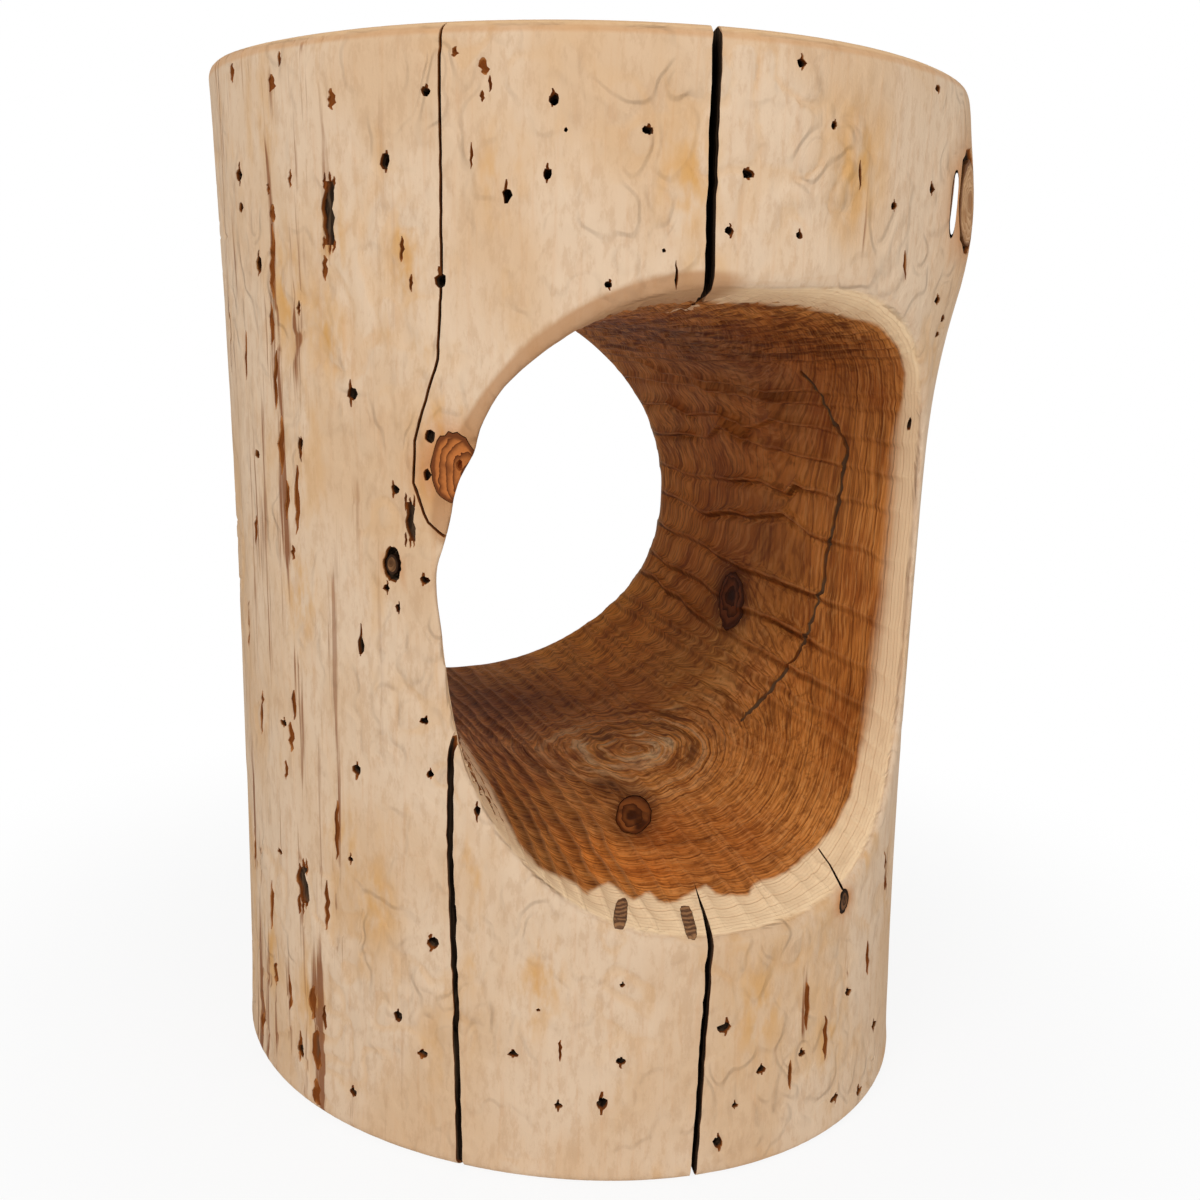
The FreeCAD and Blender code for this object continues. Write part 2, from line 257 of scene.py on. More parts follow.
def worked(mesh, kind, **settings):
    """The mesh as one modifier leaves it."""
    block = bpy.data.objects.new("block", mesh)
    bpy.context.scene.collection.objects.link(block)
    step = block.modifiers.new("step", kind)
    for setting, value in settings.items():
        setattr(step, setting, value)
    bpy.context.view_layer.update()
    shown = block.evaluated_get(bpy.context.evaluated_depsgraph_get())
    result = bpy.data.meshes.new_from_object(shown)
    bpy.data.objects.remove(block)
    return result


def cut_with(mesh, tool_mesh, operation="DIFFERENCE"):
    """The mesh less the tool's shape, or what the two share."""
    tool = bpy.data.objects.new("tool", tool_mesh)
    bpy.context.scene.collection.objects.link(tool)
    result = worked(mesh, "BOOLEAN", operation=operation, solver="MANIFOLD", object=tool)
    bpy.data.objects.remove(tool)
    return result


def corners(mesh):
    """The mesh's points as an array."""
    flat = np.zeros(len(mesh.vertices) * 3)
    mesh.vertices.foreach_get("co", flat)
    return flat.reshape(-1, 3)


log_turns = np.linspace(0, 2 * math.pi, 240, endpoint=False)
log_rings = []
edge_bends = [math.pi / 2 * step / 6 for step in range(7)]
edge_heights = [(EDGE_ROUND * (1 - math.cos(bend)), EDGE_ROUND * (1 - math.sin(bend)))
                for bend in edge_bends]
straight_heights = np.linspace(EDGE_ROUND, LOG_HEIGHT - EDGE_ROUND, 70)[1:-1]
middle_heights = [(height, 0.0) for height in straight_heights]
upper_heights = [(LOG_HEIGHT - height, inset) for height, inset in reversed(edge_heights)]
for height, inset in edge_heights + middle_heights + upper_heights:
    log_rings.append([log_point(turn, height, inset) for turn in log_turns])

hollow_rings = []
for along in np.linspace(-0.215, 0.215, 80):
    middle = hollow_height(along)
    ring = []
    for angle in np.linspace(0, 2 * math.pi, 220, endpoint=False):
        reach = hollow_reach(angle, along)
        ring.append((reach * math.cos(angle), along, middle + reach * math.sin(angle)))
    hollow_rings.append(ring)

log_mesh = cut_with(drawn_out("log", [log_rings]), drawn_out("hollow", [hollow_rings]))
log_mesh = worked(log_mesh, "REMESH", mode="VOXEL", voxel_size=GRAIN, adaptivity=0)

# The lips are sanded: broad at the foot and the right of the front mouth, broadest at its upper right
# corner, and nearly sharp along the left limb. Rubbing down draws each point to the middle of its
# neighbours.
LIP_BREADTH = 0.006
LOWER_LIP_BREADTH = 0.011
CORNER_BREADTH = 0.026
CORNER_SPAN = 0.045
CORNER_PIXEL = (885, 318)
TOP_WEAR = 0.011
LEFT_LIP_WAVES = [
    (0.150, 0.0), (0.209, 0.0020), (0.233, 0.0010), (0.249, -0.0015), (0.262, -0.0022), (0.277, 0.0012),
    (0.295, 0.0002), (0.307, 0.0030), (0.316, 0.0), (0.331, -0.0020), (0.350, 0.0),
]
LIP_RUBS = int(26 * (FINE_GRAIN / GRAIN) ** 2)
CORNER_RUBS = 4 * LIP_RUBS

places = corners(log_mesh)
pairs = np.zeros(len(log_mesh.edges) * 2, np.int64)
log_mesh.edges.foreach_get("vertices", pairs)
pairs = pairs.reshape(-1, 2)


def rubbed(points, weight, rubs):
    """The points after that many strokes of sanding, each moved by its weight."""
    near = weight > 0.01
    links = pairs[near[pairs[:, 0]] | near[pairs[:, 1]]]
    heads = np.concatenate([links[:, 0], links[:, 1]])
    tails = np.concatenate([links[:, 1], links[:, 0]])
    count = np.maximum(np.bincount(heads, minlength=len(points)), 1)
    for _ in range(rubs):
        for axis in range(3):
            middle = np.bincount(heads, points[tails, axis], len(points)) / count
            points[:, axis] += np.where(near, 0.5 * weight * (middle - points[:, axis]), 0)
    return points


turn, bark = round_log(places)
angle, wall = round_hollow(places)
left_lip = np.exp(-(wall / 0.012) ** 2 - (bark / 0.030) ** 2) * (places[:, 0] < -0.05) * (places[:, 1] < 0)
places[:, 0] += left_lip * np.interp(places[:, 2], *np.array(LEFT_LIP_WAVES).T)
apart = np.hypot(bark, wall)
front = places[:, 1] < 0
lower_right = eased(places[:, 0] - 0.6 * (places[:, 2] - 0.17), -0.06, 0.06) * front
lower_left = eased(-places[:, 2], -0.215, -0.175) * eased(-places[:, 0], -0.02, 0.0) * front
breadth = LIP_BREADTH + (LOWER_LIP_BREADTH - LIP_BREADTH) * np.maximum(lower_right, lower_left)
places = rubbed(places, np.exp(-(apart / breadth) ** 4), LIP_RUBS)
top_edge = np.hypot(bark, LOG_HEIGHT - places[:, 2])
top_worn = 0.9 * np.exp(-(top_edge / TOP_WEAR) ** 4) * eased(-places[:, 1], 0.0, 0.10)
places = rubbed(places, top_worn, 3 * LIP_RUBS)
from_corner = np.linalg.norm(places - touch(CORNER_PIXEL), axis=1)
corner_worn = np.exp(-(apart / CORNER_BREADTH) ** 4) * np.exp(-(from_corner / CORNER_SPAN) ** 4)
places = rubbed(places, corner_worn, CORNER_RUBS)

# The gouge marks: long flutes run along the hollow and meet in ridges. On the right-hand wall they are
# broad with raised, wavy ridges, under the ceiling they are fine and torn, and on the floor they are
# close and even.
WALL_RIDGES = [
    [(640, 361), (664, 370), (722, 380), (760, 386)],
    [(640, 376), (697, 384), (707, 388), (765, 398)],
    [(650, 402), (671, 402), (691, 413), (720, 410), (746, 424), (771, 416), (807, 423), (844, 433)],
    [(658, 432), (681, 431), (709, 433), (722, 424), (736, 431), (767, 445), (783, 447), (795, 452)],
    [(667, 462), (683, 470), (705, 475), (750, 476), (762, 478), (789, 491), (797, 481), (813, 486),
     (838, 493)],
    [(670, 492), (685, 500), (705, 511), (732, 509), (750, 514), (787, 511), (795, 517), (813, 531),
     (836, 539)],
    [(665, 524), (679, 531), (709, 545), (722, 557), (770, 575)],
    [(655, 552), (667, 563), (695, 576), (730, 600)],
    [(648, 572), (656, 576), (667, 590), (681, 596), (693, 608), (715, 625)],
]
GOUGE_ZONES = [(-180, -62, 0.0088), (-62, -33, 0.0105), (49, 118, 0.0052), (118, 180, 0.0130)]


def run_of(line):
    """Distance along a line of points to each of them."""
    return np.concatenate([[0], np.cumsum(np.linalg.norm(np.diff(line, axis=0), axis=1))])


def spread_along(line, lengths, stations):
    """Points at the stations along a line whose points lie at those lengths."""
    return np.stack([np.interp(stations, lengths, column) for column in np.transpose(line)], 1)


perimeter_angles = np.linspace(-math.pi, math.pi, 1441)
perimeter_reach = hollow_reach(perimeter_angles, np.zeros(len(perimeter_angles)))
perimeter_ways = np.stack([np.cos(perimeter_angles), np.sin(perimeter_angles)], 1)
perimeter = run_of(perimeter_reach[:, None] * perimeter_ways)


def round_section(angle):
    """Distance round the hollow's section to an angle."""
    return np.interp(angle, perimeter_angles, perimeter)


def floor_height(x, y):
    """Height of the hollow's floor above a point of the base."""
    left, right, floor, ceiling, square = hollow_section(y)
    wide, power = (right, square) if x > 0 else (left, SQUARE_LEFT)
    return floor + (ceiling - floor) / 2 * (1 - (1 - abs(x / wide) ** power) ** (1 / power))


wall_spot = np.array((HOLLOW_RIGHT, 0.032, HOLLOW_MIDDLE - 0.041))
floor_spot = np.array((0.002, -0.082, floor_height(0.002, -0.082)))
ridge_lines = []
for pixels in WALL_RIDGES:
    spots = np.array([touch(pixel) for pixel in pixels])
    order = np.argsort(spots[:, 1])
    around = round_section(round_hollow(spots)[0])
    ridge_lines.append((spots[order, 1], around[order], True))
chance = np.random.default_rng(11)
for first, last, pitch in GOUGE_ZONES:
    start, stop = round_section(math.radians(first)), round_section(math.radians(last))
    count = int(round((stop - start) / pitch))
    for step in range(count):
        around = start + (step + 0.5 + chance.uniform(-0.18, 0.18)) * pitch
        around = around + chance.uniform(-1, 1) * pitch * 0.25
        ridge_lines.append((np.array((-0.2, 0.2)), np.array((around, around)), False))
ridge_lines.sort(key=lambda line: np.mean(line[1]))


def on_right_wall(angle):
    """How far an angle in the hollow's section belongs to its right-hand wall."""
    return eased(angle, -0.62, -0.45) * eased(-angle, -0.86, -0.75)


def gouged(points):
    """Depth of the gouging at each point of the hollow's wall, its place between two ridges, their
    width apart and their strength."""
    angle = round_hollow(points)[0]
    along = points[:, 1]
    around = round_section(angle)
    lines = np.zeros((len(points), len(ridge_lines)))
    for number, (reach, place, named) in enumerate(ridge_lines):
        sway = np.stack([along, np.full(len(points), number * 0.37), np.zeros(len(points))], 1)
        amount = 0.0011 if named else 0.0016
        lines[:, number] = np.interp(along, reach, place)
        lines[:, number] += amount * (drift(sway, 0.022, 5) + 0.5 * drift(sway, 0.008, 6))
    lines.sort(axis=1)
    rank = np.clip(np.sum(lines < around[:, None], axis=1), 1, len(ridge_lines) - 1)
    rows = np.arange(len(points))
    below, above = lines[rows, rank - 1], lines[rows, rank]
    width = np.maximum(above - below, 0.002)
    across = np.clip((around - below) / width, 0, 1)
    wall_zone = on_right_wall(angle)
    flute = np.minimum(0.15 * width, 0.0022) * (1 - (2 * across - 1) ** 2) * (1 - 0.65 * wall_zone)
    worn = 1 - 0.75 * wall_zone * eased(-along, 0.03, 0.085)
    from_pith = np.hypot(points[:, 0] - PITH[0], along - PITH[1])
    swirl = 1 - 0.6 * np.exp(-(from_pith / 0.035) ** 2) * (angle < -0.7)
    strength = (0.6 + 0.4 * drift(points, 0.03, 8)) * worn * swirl
    for spot in (wall_spot, floor_spot):
        calm = 1 - 0.9 * np.exp(-(np.linalg.norm(points - spot, axis=1) / 0.017) ** 4)
        strength *= calm
        flute *= 0.3 + 0.7 * calm
    fine = eased(angle, 0.80, 0.95) * eased(angle, 2.1, 1.9)
    nearest_above = above - around
    nearest_below = around - below
    cord_width = 0.0013 + 0.0006 * wall_zone
    cord = np.exp(-(np.minimum(nearest_above, nearest_below) / cord_width) ** 2)
    under = np.exp(-((nearest_above - 2.0 * cord_width) / (0.9 * cord_width)) ** 2)
    cord_height = (0.0006 + 0.0032 * wall_zone + 0.0005 * fine) * strength
    chatter = 0.00016 * drift(points, 0.006, 9) + 0.00012 * drift(points, 0.0028, 10)
    fibres = points * np.array((1, 0.3, 1))
    chatter += fine * (0.0007 * drift(fibres, 0.0046, 12) + 0.0005 * drift(fibres, 0.003, 13))
    depth = flute * (0.45 + 0.75 * strength) - cord * cord_height
    depth = depth + under * 0.9 * cord_height * wall_zone + chatter
    return depth - 0.0007, across, width, strength


# The outside, where beetles ran under the bark: winding galleries, peeled steps and slow swells. All are
# shallow relief in the bare wood, which fades out towards the lips and the sawn ends.
GALLERY_DEPTH = 0.0007
SWELL_DEPTH = 0.0007
WITHIN_BOX = 0.0001 * np.array((1, 1, 0))
FACES_KEPT = 160000


def peeled(points):
    """Depth of the outside's relief at each point, and how far a point lies in a gallery."""
    bent = points + 0.006 * np.stack([drift(points, 0.02, seed) for seed in (21, 22, 23)], 1)
    stretched = bent * np.array((1, 1, 0.75))
    track = np.abs(drift(stretched, 0.0095, 24))
    trace = eased(drift(points, 0.035, 25), -0.05, 0.4)
    gallery = eased(-track, -0.26, -0.14) * trace
    step = np.tanh(drift(bent * np.array((1, 1, 0.6)), 0.024, 26) * 6)
    swell = drift(points * np.array((1, 1, 0.35)), 0.05, 27)
    swell = swell + 0.5 * drift(points * np.array((1, 1, 0.2)), 0.02, 28)
    depth = GALLERY_DEPTH * gallery + 0.00016 * (1 + step) + SWELL_DEPTH * 0.4 * (1 + swell)
    return depth, gallery


turn, bark = round_log(places)
angle, wall = round_hollow(places)
inside = eased(bark, 0.004, 0.014) * eased(-wall, -0.012, -0.006)
ends = eased(places[:, 2], 0.003, 0.012) * eased(LOG_HEIGHT - places[:, 2], 0.003, 0.012)
outside = eased(-bark, -0.006, -0.002) * eased(wall, 0.004, 0.014) * ends
carved_depth = np.zeros(len(places))
hollow_points = np.flatnonzero(inside > 0)
carved_depth[hollow_points] = gouged(places[hollow_points])[0]
places += into_wood(places) * (inside * carved_depth)[:, None]
relief_depth = np.zeros(len(places))
bark_points = np.flatnonzero(outside > 0)
relief_depth[bark_points] = peeled(places[bark_points])[0]
radial = np.stack([np.sin(turn), -np.cos(turn), np.zeros(len(turn))], 1)
places -= radial * (outside * relief_depth)[:, None]
low, high = (np.array(corner) for corner in cad_box)
places = np.clip(places, low + WITHIN_BOX, high - WITHIN_BOX)
log_mesh.vertices.foreach_set("co", places.ravel())
log_mesh.update()
share_kept = min(1.0, FACES_KEPT / (2 * len(log_mesh.polygons)))
sculpted_mesh = worked(log_mesh, "DECIMATE", ratio=share_kept, use_collapse_triangulate=True)
sculpted_faces = [face.vertices for face in sculpted_mesh.polygons]
sculpted_tree = BVHTree.FromPolygons([corner.co for corner in sculpted_mesh.vertices], sculpted_faces)

# The drying checks, the borer holes and the torn brown streaks are cut into the sculpted log. A check
# tapers to nothing towards the pith, a borer hole is a crooked bore, and a streak is a shallow tear.
# Each cutter starts a little above the wood.
CHECK_LID = 0.004
CHECK_SHOULDER = 0.0012
CHECK_PACE = 0.004
TEAR_LID = 0.003
TEAR_PACE = 0.003
BORE_CORNERS = 9
BORE_RINGS = ((-0.004, 1.0), (0.0007, 0.94), (0.0025, 0.8))
BORE_END = 0.55


def groove(line, into, mouth, depth, seed, ragged, pace=CHECK_PACE):
    """Rings of an open crack along a line of points on the wood, closing at its depth."""
    lengths = run_of(line)
    stations = np.linspace(0, lengths[-1], max(4, int(lengths[-1] / pace)))
    spots = spread_along(line, lengths, stations)
    ways = spread_along(into, lengths, stations)
    luck = np.random.default_rng(seed)
    halves = mouth * (1 + ragged * luck.uniform(-1, 1, len(stations))) / 2
    sway = ragged * mouth * luck.uniform(-1, 1, len(stations))
    shoulder = min(CHECK_SHOULDER, depth * 0.4)
    rings = []
    for number, (spot, half) in enumerate(zip(spots, halves)):
        way = unit(ways[number])
        ahead = spots[min(number + 1, len(spots) - 1)] - spots[max(number - 1, 0)]
        side = unit(np.cross(ahead, way))
        spot = spot + side * sway[number]
        lid = spot - way * CHECK_LID
        ledge = spot + way * shoulder
        kept = half * (1 - 0.6 * shoulder / depth)
        rings.append([lid - side * half, ledge - side * kept, spot + way * depth,
                      ledge + side * kept, lid + side * half])
    return rings


def tapered(line, into, mouth, depth, seed, blunt=0.25):
    """Rings of a spindle-shaped tear between the two ends of a line, whose ends may be blunt."""
    start, stop = np.array(line)
    first_way, last_way = np.array(into)
    luck = np.random.default_rng(seed)
    steps = max(6, int(np.linalg.norm(stop - start) / TEAR_PACE))
    rings = []
    for step in range(steps + 1):
        share = step / steps
        way = unit(first_way * (1 - share) + last_way * share)
        side = unit(np.cross(stop - start, way))
        swell = blunt + (1 - blunt) * math.sin(math.pi * share) ** 0.7
        half = mouth / 2 * swell * luck.uniform(0.75, 1.2)
        deep = depth * swell
        spot = start * (1 - share) + stop * share + side * mouth * 0.15 * luck.uniform(-1, 1)
        lid = spot - way * TEAR_LID
        ledge = spot + way * deep * 0.7
        rings.append([lid - side * half, ledge - side * half * 0.6, spot + way * deep,
                      ledge + side * half * 0.6, lid + side * half])
    return rings


def crosswise(axis):
    """Sideways and upright directions across an axis."""
    side = unit(np.cross(axis, (0, 0, 1)))
    return side, np.cross(side, axis)


def bore(spot, into, width, tall, depth, seed):
    """Rings of a crooked borer hole."""
    luck = np.random.default_rng(seed)
    side, upright = crosswise(into)
    ragged = luck.uniform(0.72, 1.18, BORE_CORNERS)
    rings = []
    for place, size in (*BORE_RINGS, (depth, BORE_END)):
        drop = upright * max(place, 0) * luck.uniform(-0.25, 0.25)
        ring = []
        for step in range(BORE_CORNERS):
            bend = 2 * math.pi * step / BORE_CORNERS
            across = side * math.cos(bend) * width + upright * math.sin(bend) * tall
            ring.append(spot + into * place + drop + across / 2 * size * ragged[step])
        rings.append(ring)
    return rings


def seen(pixel):
    """Point of the sculpted log that shows at a pixel."""
    hit = sculpted_tree.ray_cast(Vector(SIGHT_FROM), Vector(sight(pixel)))[0]
    return touch(pixel) if hit is None else np.array(hit)


def stepped(pixels, pace=9):
    """Pixels at an even pace along a line of pixels."""
    lengths = run_of(pixels)
    stops = np.linspace(0, lengths[-1], int(lengths[-1] / pace) + 1)
    return spread_along(pixels, lengths, stops)


def bare(turn, height):
    """Point of the sculpted log's outside at a turn and a height."""
    hit = sculpted_tree.ray_cast(Vector(log_point(turn, height, -0.02)), Vector(-outward(turn)))[0]
    return log_point(turn, height) if hit is None else np.array(hit)


def inward(spot):
    """Direction into the log at a point of its outside."""
    return -outward(round_log(spot[None])[0][0])


CHECK_PITH = (0.032, -0.021)


def pith_turn(point):
    """Turn in which a point lies as seen from the pith: checks and knots grow along that line."""
    return math.atan2(point[0] - CHECK_PITH[0], CHECK_PITH[1] - point[1])


OVER_TOP = LOG_HEIGHT + 0.012
UNDER_BASE = -0.012
CHECK_RAGGED = 0.09
CHECKS = [
    ([(-39.2, OVER_TOP), (-39.3, 0.370), (-40.0, 0.341), (-43.4, 0.311), (-43.8, 0.294), (-42.0, 0.280),
      (-37.0, 0.270)], 0.0014, 0.009),
    ([(-83.0, OVER_TOP), (-86.0, 0.390), (-89.0, 0.330)], 0.0015, 0.009),
    ([(-6.3, OVER_TOP), (-5.0, 0.247)], 0.0036, 0.058),
    ([(-33.0, 0.247), (-37.3, 0.199), (-38.5, 0.186), (-38.6, 0.145), (-37.0, UNDER_BASE)], 0.0029, 0.036),
    ([(0.4, 0.247), (-3.25, UNDER_BASE)], 0.0029, 0.036),
]
WALL_CHECK = [
    (800, 372), (815, 385), (830, 415), (848, 450), (843, 470), (840, 495), (835, 515), (828, 545),
    (822, 590), (800, 650), (770, 690), (740, 720),
]
WALL_CHECK_MOUTH = 0.0038
WALL_CHECK_DEPTH = 0.0034
LIP_CHECK = [(818, 848), (832, 868), (845, 893)]
LIP_CHECK_MOUTH = 0.0009
LIP_CHECK_DEPTH = 0.003

check_shapes = []
for number, (line, mouth, depth) in enumerate(CHECKS):
    points = [log_point(math.radians(turn), height) for turn, height in line]
    ways = [-outward(pith_turn(point)) for point in points]
    check_shapes.append(groove(points, ways, mouth, depth, 40 + number, CHECK_RAGGED))
wall_check_points = np.array([seen(pixel) for pixel in stepped(WALL_CHECK)])
check_shapes.append(groove(wall_check_points, into_wood(wall_check_points), WALL_CHECK_MOUTH,
                           WALL_CHECK_DEPTH, 47, 0.22, 0.003))
lip_check_points = np.array([seen(pixel) for pixel in LIP_CHECK])
check_shapes.append(groove(lip_check_points, into_wood(lip_check_points), LIP_CHECK_MOUTH,
                           LIP_CHECK_DEPTH, 48, 0.3))

BORER_HOLES = [
    (426, 91, 10, 9), (385, 161, 10, 15), (554, 99, 10, 12), (547, 174, 10, 13), (507, 195, 10, 16),
    (441, 281, 13, 18), (352, 394, 10, 16), (239, 175, 6, 14), (259, 265, 5, 18), (241, 208, 4, 10),
    (648, 130, 12, 9), (608, 285, 10, 7), (802, 63, 9, 11), (748, 173, 14, 10), (729, 231, 9, 9),
    (800, 235, 7, 7), (834, 125, 6, 8), (894, 206, 6, 9), (938, 89, 5, 7), (932, 189, 5, 10),
    (395, 489, 9, 11), (300, 446, 5, 15), (257, 454, 4, 10), (361, 645, 8, 22), (424, 721, 9, 7),
    (357, 770, 9, 13), (430, 774, 7, 9), (283, 723, 6, 7), (477, 812, 7, 12), (433, 943, 11, 14),
    (398, 1016, 8, 12), (423, 1054, 9, 7), (513, 1054, 10, 8), (558, 1106, 7, 7), (602, 1104, 11, 13),
    (353, 1092, 6, 8), (300, 1051, 6, 12), (280, 852, 4, 7), (350, 859, 5, 7), (621, 1062, 9, 8),
    (724, 1028, 11, 11), (761, 1070, 7, 9), (802, 1053, 6, 6), (718, 1143, 8, 13), (834, 1098, 6, 8),
    (859, 1091, 5, 7), (874, 1025, 5, 10), (848, 992, 5, 7), (424, 580, 12, 9), (459, 466, 7, 13),
    (386, 588, 7, 8), (398, 608, 6, 9), (909, 425, 5, 15), (938, 300, 5, 9), (943, 318, 4, 8),
    (936, 334, 4, 7), (430, 437, 12, 14), (427, 475, 9, 14), (622, 985, 5, 5), (538, 1010, 4, 4),
    (735, 1105, 5, 6), (566, 130, 4, 5), (664, 250, 4, 5),
]
SHALLOW_HOLES = {(430, 437), (427, 475), (459, 466)}
LIP_HOLES = {(909, 425)}
DARK_SLOTS = [(329, 181, 245, 15), (303, 867, 903, 11), (410, 502, 541, 13)]
BROWN_STREAKS = [
    (232, 63, 83, 4), (271, 74, 92, 6), (279, 51, 67, 3), (331, 88, 110, 7), (455, 46, 57, 6),
    (484, 57, 75, 9), (490, 75, 92, 3), (482, 90, 102, 4), (471, 142, 169, 3), (268, 183, 195, 3),
    (272, 204, 222, 6), (272, 224, 300, 5), (271, 302, 345, 4), (290, 169, 188, 3), (299, 300, 316, 3),
    (325, 255, 281, 5), (276, 350, 410, 4), (281, 415, 475, 5), (297, 465, 535, 5), (301, 436, 462, 3),
    (287, 480, 520, 4), (293, 545, 560, 4), (256, 515, 545, 3), (294, 690, 720, 4), (291, 722, 752, 5),
    (286, 760, 780, 3), (337, 800, 860, 4), (327, 880, 930, 4), (263, 990, 1035, 5), (276, 962, 985, 4),
    (300, 1030, 1062, 4), (313, 985, 1020, 6), (317, 1030, 1070, 8), (316, 1078, 1108, 7),
    (325, 1005, 1030, 3), (290, 975, 1010, 3), (807, 982, 1030, 5), (826, 1015, 1060, 4),
    (790, 1060, 1090, 3), (868, 940, 975, 3), (885, 850, 890, 4), (246, 330, 380, 3),
    (249, 600, 650, 3), (262, 690, 735, 3), (255, 820, 870, 3), (272, 880, 930, 3), (402, 236, 262, 4),
    (411, 274, 292, 4), (455, 905, 935, 3), (560, 1040, 1062, 3), (676, 260, 290, 3),
    (860, 160, 190, 3), (905, 250, 280, 3),
]
HOLE_DEPTH = 0.009
SHALLOW_HOLE_DEPTH = 0.0035
LIP_HOLE_DEPTH = 0.004
SLOT_DEPTH = 0.0030
STREAK_DEPTH = 0.0014
HIDDEN_STREAK_DEPTH = 0.0012
STREAK_SPREAD = 1.4


def as_seen(spot, into, pixel):
    """Size of one pixel at a spot, and how squarely the wood there faces the viewpoint."""
    scale = np.linalg.norm(spot - SIGHT_FROM) / PHOTO_FOCUS
    return scale, max(0.35, abs(np.dot(into, sight(pixel))))


def strip(upper, lower, aim, wide, depth, seed, blunt=0.25):
    """Rings of a tear down the outside from one pixel to another, that many pixels wide as seen."""
    line = [seen(upper), seen(lower)]
    ways = [inward(spot) for spot in line]
    scale, slant = as_seen(line[0], ways[0], aim)
    return tapered(line, ways, wide * scale / slant, depth, seed, blunt)


hole_shapes = []
for number, (x, y, wide, tall) in enumerate(BORER_HOLES):
    spot = seen((x, y))
    into = inward(spot)
    scale, slant = as_seen(spot, into, (x, y))
    depth = SHALLOW_HOLE_DEPTH if (x, y) in SHALLOW_HOLES else HOLE_DEPTH
    if (x, y) in LIP_HOLES:
        into, slant, depth = sight((x, y)), 1.0, LIP_HOLE_DEPTH
    hole_shapes.append(bore(spot, into, wide * scale / slant, tall * scale, depth, 60 + number))
for number, (x, top, bottom, wide) in enumerate(DARK_SLOTS):
    hole_shapes.append(strip((x - 1, top), (x + 1, bottom), (x, top), wide, SLOT_DEPTH, 160 + number, 0.62))

slot_tears = []
for x, top, bottom, wide in DARK_SLOTS:
    for aside in (-0.32, 0.02, 0.30):
        slot_tears.append((x + aside * wide, top - chance.uniform(4, 11), top + 9, 0.22 * wide))
        slot_tears.append((x + aside * wide, bottom - 9, bottom + chance.uniform(4, 13), 0.22 * wide))
streak_shapes = []
for number, (x, top, bottom, wide) in enumerate(BROWN_STREAKS + slot_tears):
    wide = STREAK_SPREAD * wide
    streak_shapes.append(strip((x, top), (x, bottom), (x, top), wide, STREAK_DEPTH, 200 + number))
for number, (x, y, wide, tall) in enumerate(BORER_HOLES):
    if wide > 4 and (x, y) not in SHALLOW_HOLES | LIP_HOLES:
        over = x + chance.uniform(-0.25, 0.25) * wide
        upper = (over, y - tall * chance.uniform(0.6, 1.0))
        lower = (over, y + tall * chance.uniform(0.5, 0.9))
        streak_shapes.append(strip(upper, lower, (x, y), 0.5 * wide, STREAK_DEPTH, 700 + number, 0.5))

# The sides that the photograph does not show carry the same holes and streaks, scattered by chance:
# every other one is a hole.
HIDDEN_MARKS = 80
chance = np.random.default_rng(5)
for number in range(HIDDEN_MARKS):
    hole_turn = chance.uniform(math.radians(48), math.radians(262))
    height = chance.uniform(0.02, 0.44)
    spot = bare(hole_turn, height)
    into = -outward(hole_turn)
    if round_hollow(spot[None])[1][0] < 0.012:
        continue
    if number % 2:
        size = chance.uniform(0.0022, 0.0048)
        tall = size * chance.uniform(0.9, 1.6)
        hole_shapes.append(bore(spot, into, size, tall, HOLE_DEPTH, 300 + number))
    else:
        lower = bare(hole_turn + chance.uniform(-0.01, 0.01), height - chance.uniform(0.006, 0.035))
        if lower[2] > 0.012:
            wide = chance.uniform(0.0012, 0.003)
            streak_shapes.append(tapered([spot, lower], [into] * 2, wide, HIDDEN_STREAK_DEPTH, 400 + number))


def cut_all(mesh, shapes):
    """The mesh less all the shapes, taken in rounds in which no two shapes meet."""
    waiting = []
    for rings in shapes:
        points = np.concatenate(rings)
        waiting.append((points.min(0), points.max(0), rings))
    while waiting:
        taken, left_over = [], []
        for low, high, rings in waiting:
            clash = any(np.all(low < top) and np.all(high > bottom) for bottom, top, _ in taken)
            (left_over if clash else taken).append((low, high, rings))
        mesh = cut_with(mesh, drawn_out("cutters", [rings for _, _, rings in taken]))
        waiting = left_over
    return mesh


SAME_SPOT = 4e-6


def without_crumbs(mesh):
    """The mesh in triangles, without the doubled slivers that cutting leaves on its edges."""
    shaper = bmesh.new()
    shaper.from_mesh(mesh)
    bmesh.ops.triangulate(shaper, faces=shaper.faces)
    bmesh.ops.remove_doubles(shaper, verts=shaper.verts, dist=SAME_SPOT)
    slivers = set()
    for edge in shaper.edges:
        if len(edge.link_faces) > 2:
            outlines = [set(face.verts) for face in edge.link_faces]
            slivers |= {face for face in edge.link_faces if outlines.count(set(face.verts)) > 1}
    bmesh.ops.delete(shaper, geom=list(slivers), context="FACES")
    shaper.to_mesh(mesh)
    shaper.free()
    return mesh


# The knots: dead branches that the trunk grew round. Each sits loose in its socket with a dark ring of
# bark about it and is cut flush with the wood; the pin knot and the two plugs of packed borer dust lie
# in the worn lower lip. Their sockets are cut here, before the log is finished.
KNOT_TAPER = 0.75
KNOT_PROUD = 0.040
KNOT_CORNERS = 32
KNOT_RAGGED = 0.05
SOCKET_GAP = 0.0004
PLUG_GAP = 0.0002
PLUG_SQUARE = 0.55
KNOT_SEED = 500
PLUG_SEED = 560


def lip_point(turn, inset=0.0):
    """Point on the lower lip of the front mouth, at its corner or in from it."""
    spot = log_point(turn, HOLLOW_FLOOR - FRONT_FLARES[2], inset)
    spot[2] = floor_height(spot[0], spot[1])
    return spot


def squared_off(part, power):
    """A sine or cosine raised to a power with its sign kept, which makes an oval squarer or rounder."""
    return math.copysign(abs(part) ** power, part)


